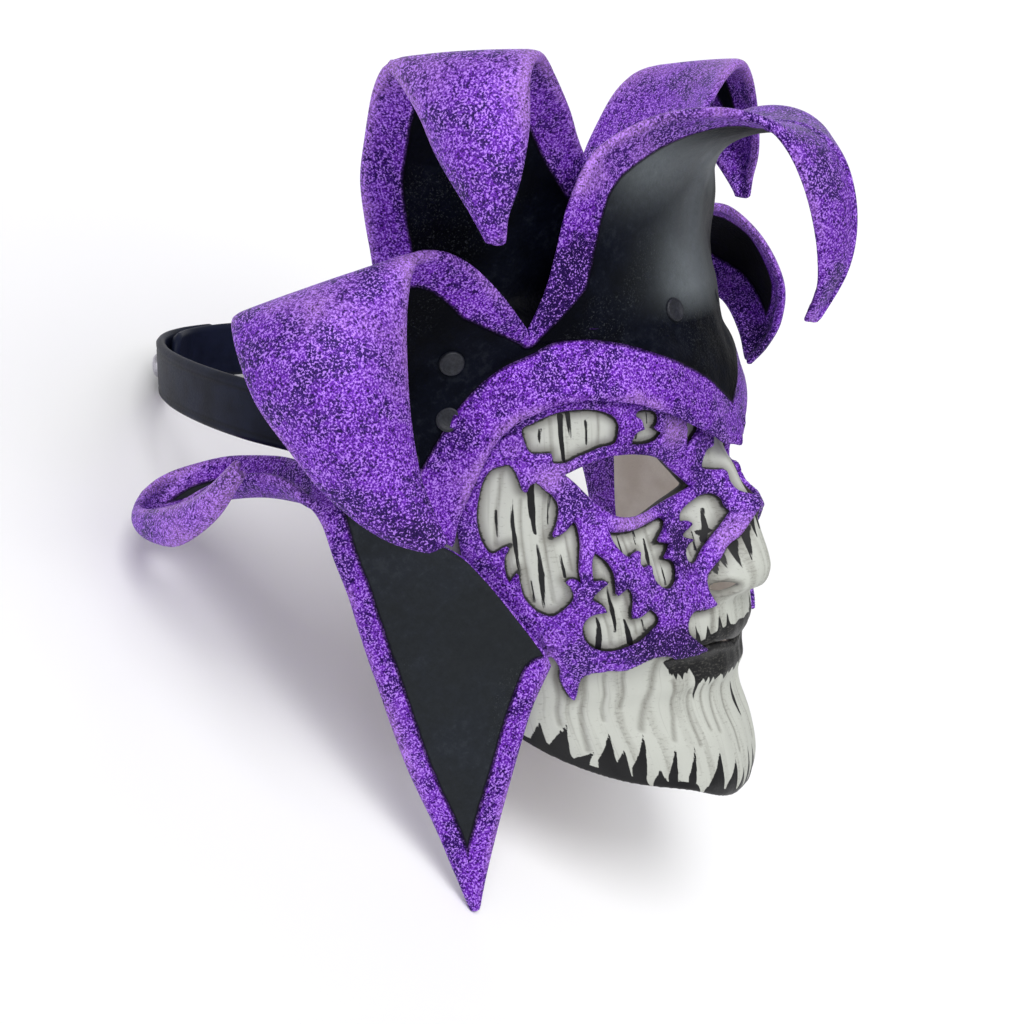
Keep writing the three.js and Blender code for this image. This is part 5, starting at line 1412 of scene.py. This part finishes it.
# %% Turned parts
def axis_of(node):
    """The cap's top middle and the outward direction, in metres, and the rivet's length.
    The spread's three sizes are two equal ones and the odd one, which is the axis. The
    cap's end is the wider."""
    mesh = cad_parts[node].data
    raw = np.zeros(len(mesh.vertices) * 3, np.float32)
    mesh.vertices.foreach_get("co", raw)
    points = np.unique(np.round(raw.reshape(-1, 3).astype(float), 6), axis=0)
    middle = points.mean(0)
    size, ways = np.linalg.eigh(np.cov((points - middle).T))
    axis = ways[:, 0 if size[1] - size[0] > size[2] - size[1] else 2]
    height = (points - middle) @ axis
    radius = np.linalg.norm(points - middle - height[:, None] * axis, axis=1)
    if height[radius > 0.95 * radius.max()].mean() < (height.max() + height.min()) / 2:
        axis, height = -axis, -height
    return middle + axis * height.max(), axis, (height.max() - height.min()) / MM


def turned(outline, top, axis, around=40):
    """An outline of radius and depth below the top, spun round the axis: a point at angle a
    is the middle plus the radius times (cos a, sin a) across. Both poles are single points."""
    outline = np.array(outline, float) * MM
    side = np.cross(axis, [0.3, 0.5, 0.8])
    side /= np.linalg.norm(side)
    angle = np.linspace(0, 2 * np.pi, around, endpoint=False)
    ring = np.cos(angle)[:, None] * side + np.sin(angle)[:, None] * np.cross(axis, side)
    body = outline[1:-1]
    points = (top - body[:, 1][:, None, None] * axis + body[:, 0][:, None, None] * ring).reshape(-1, 3)
    poles = top - outline[[0, -1], 1][:, None] * axis
    ids = np.arange(len(points)).reshape(len(body), around)
    after = np.roll(ids, -1, axis=1)
    cells = [np.stack([ids[:-1], ids[1:], after[1:]], -1).reshape(-1, 3),
             np.stack([ids[:-1], after[1:], after[:-1]], -1).reshape(-1, 3),
             np.stack([np.full(around, len(points)), ids[0], after[0]], -1),
             np.stack([np.full(around, len(points) + 1), after[-1], ids[-1]], -1)]
    return np.concatenate([points, poles]), np.concatenate(cells)


# %% Rivets
# Outlines of caps, from the top's middle outwards: radius and depth. The leather is 1 mm
# below the CAD cap's underside, so each cap is deep enough to sit on it.
FLUSH = [(0, 1.45), (2.4, 1.45), (2.75, 1.2), (3.3, 1.15), (3.65, 1.4), (3.8, 1.9), (3.8, 2.4), (1.2, 2.4)]
PROUD = [(0, 0.5), (2.4, 0.5), (2.75, 0.35), (3.3, 0.35), (3.65, 0.7), (3.8, 1.4), (3.8, 2.4), (1.2, 2.4)]
SMALL = [(0, 0.65), (1.6, 0.7), (2.2, 0.9), (2.55, 1.4), (2.6, 2.2), (1.2, 2.2)]
DOME = [(0, 0), (0.9, 0.12), (1.7, 0.5), (2.3, 1.1), (2.7, 1.9), (2.9, 2.6), (2.9, 3.1), (1.2, 3.1)]
SNAP_CAP = [(0, 0.5), (1.3, 0.5), (1.7, 0.05), (2.6, 0), (3.6, 0.4), (4.2, 1.1), (4.4, 1.9), (4.4, 2.5),
            (1.2, 2.5)]
RIVETS = {"front_rivet": (FLUSH, painted_cap, "painted_rivet"),
          "crown_rivet": (FLUSH, painted_cap, "painted_rivet"),
          "temple_rivet": (FLUSH, painted_cap, "painted_rivet"),
          "strap_rivet": (SMALL, painted_cap, "painted_rivet"),
          "strap_stud": (DOME, silver, "silver_metal"),
          "brow_rivet": (PROUD, purple, "purple_rivet"),
          "cheek_rivet": (PROUD, purple, "purple_rivet"),
          "strap_snap": (SNAP_CAP, silver, "silver_metal")}
WASHER_UP = 1.8  # how far above the CAD rivet's inner end its washer starts


def add_rivet(node, cap, finish, slot):
    """A cap, a stem and a washer as one turned part on the CAD rivet's axis."""
    top, axis, length = axis_of(node)
    washer = [(1.2, 0), (2.2, 0), (2.4, 0.3), (2.0, 0.8), (0, 0.9)]
    outline = [*cap, *((radius, length - WASHER_UP + depth) for radius, depth in washer)]
    points, faces = turned(outline, top, axis)
    mesh = bpy.data.meshes.new(f"{node}_cap")
    mesh.from_pydata(points.tolist(), [], faces.tolist())
    set_down(f"{node}_cap", mesh, slot, [node], [finish], sharp_angle=45)


for name, (cap, finish, slot) in RIVETS.items():
    for node in ([name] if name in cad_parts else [f"{name}_right", f"{name}_left"]):
        add_rivet(node, cap, finish, slot)
print("rivets done")

# %% [markdown]
# ## Last update
# The dressed mask may stand a little proud of the CAD model. The scene is updated once more.

# %% Finish
bpy.context.view_layer.update()
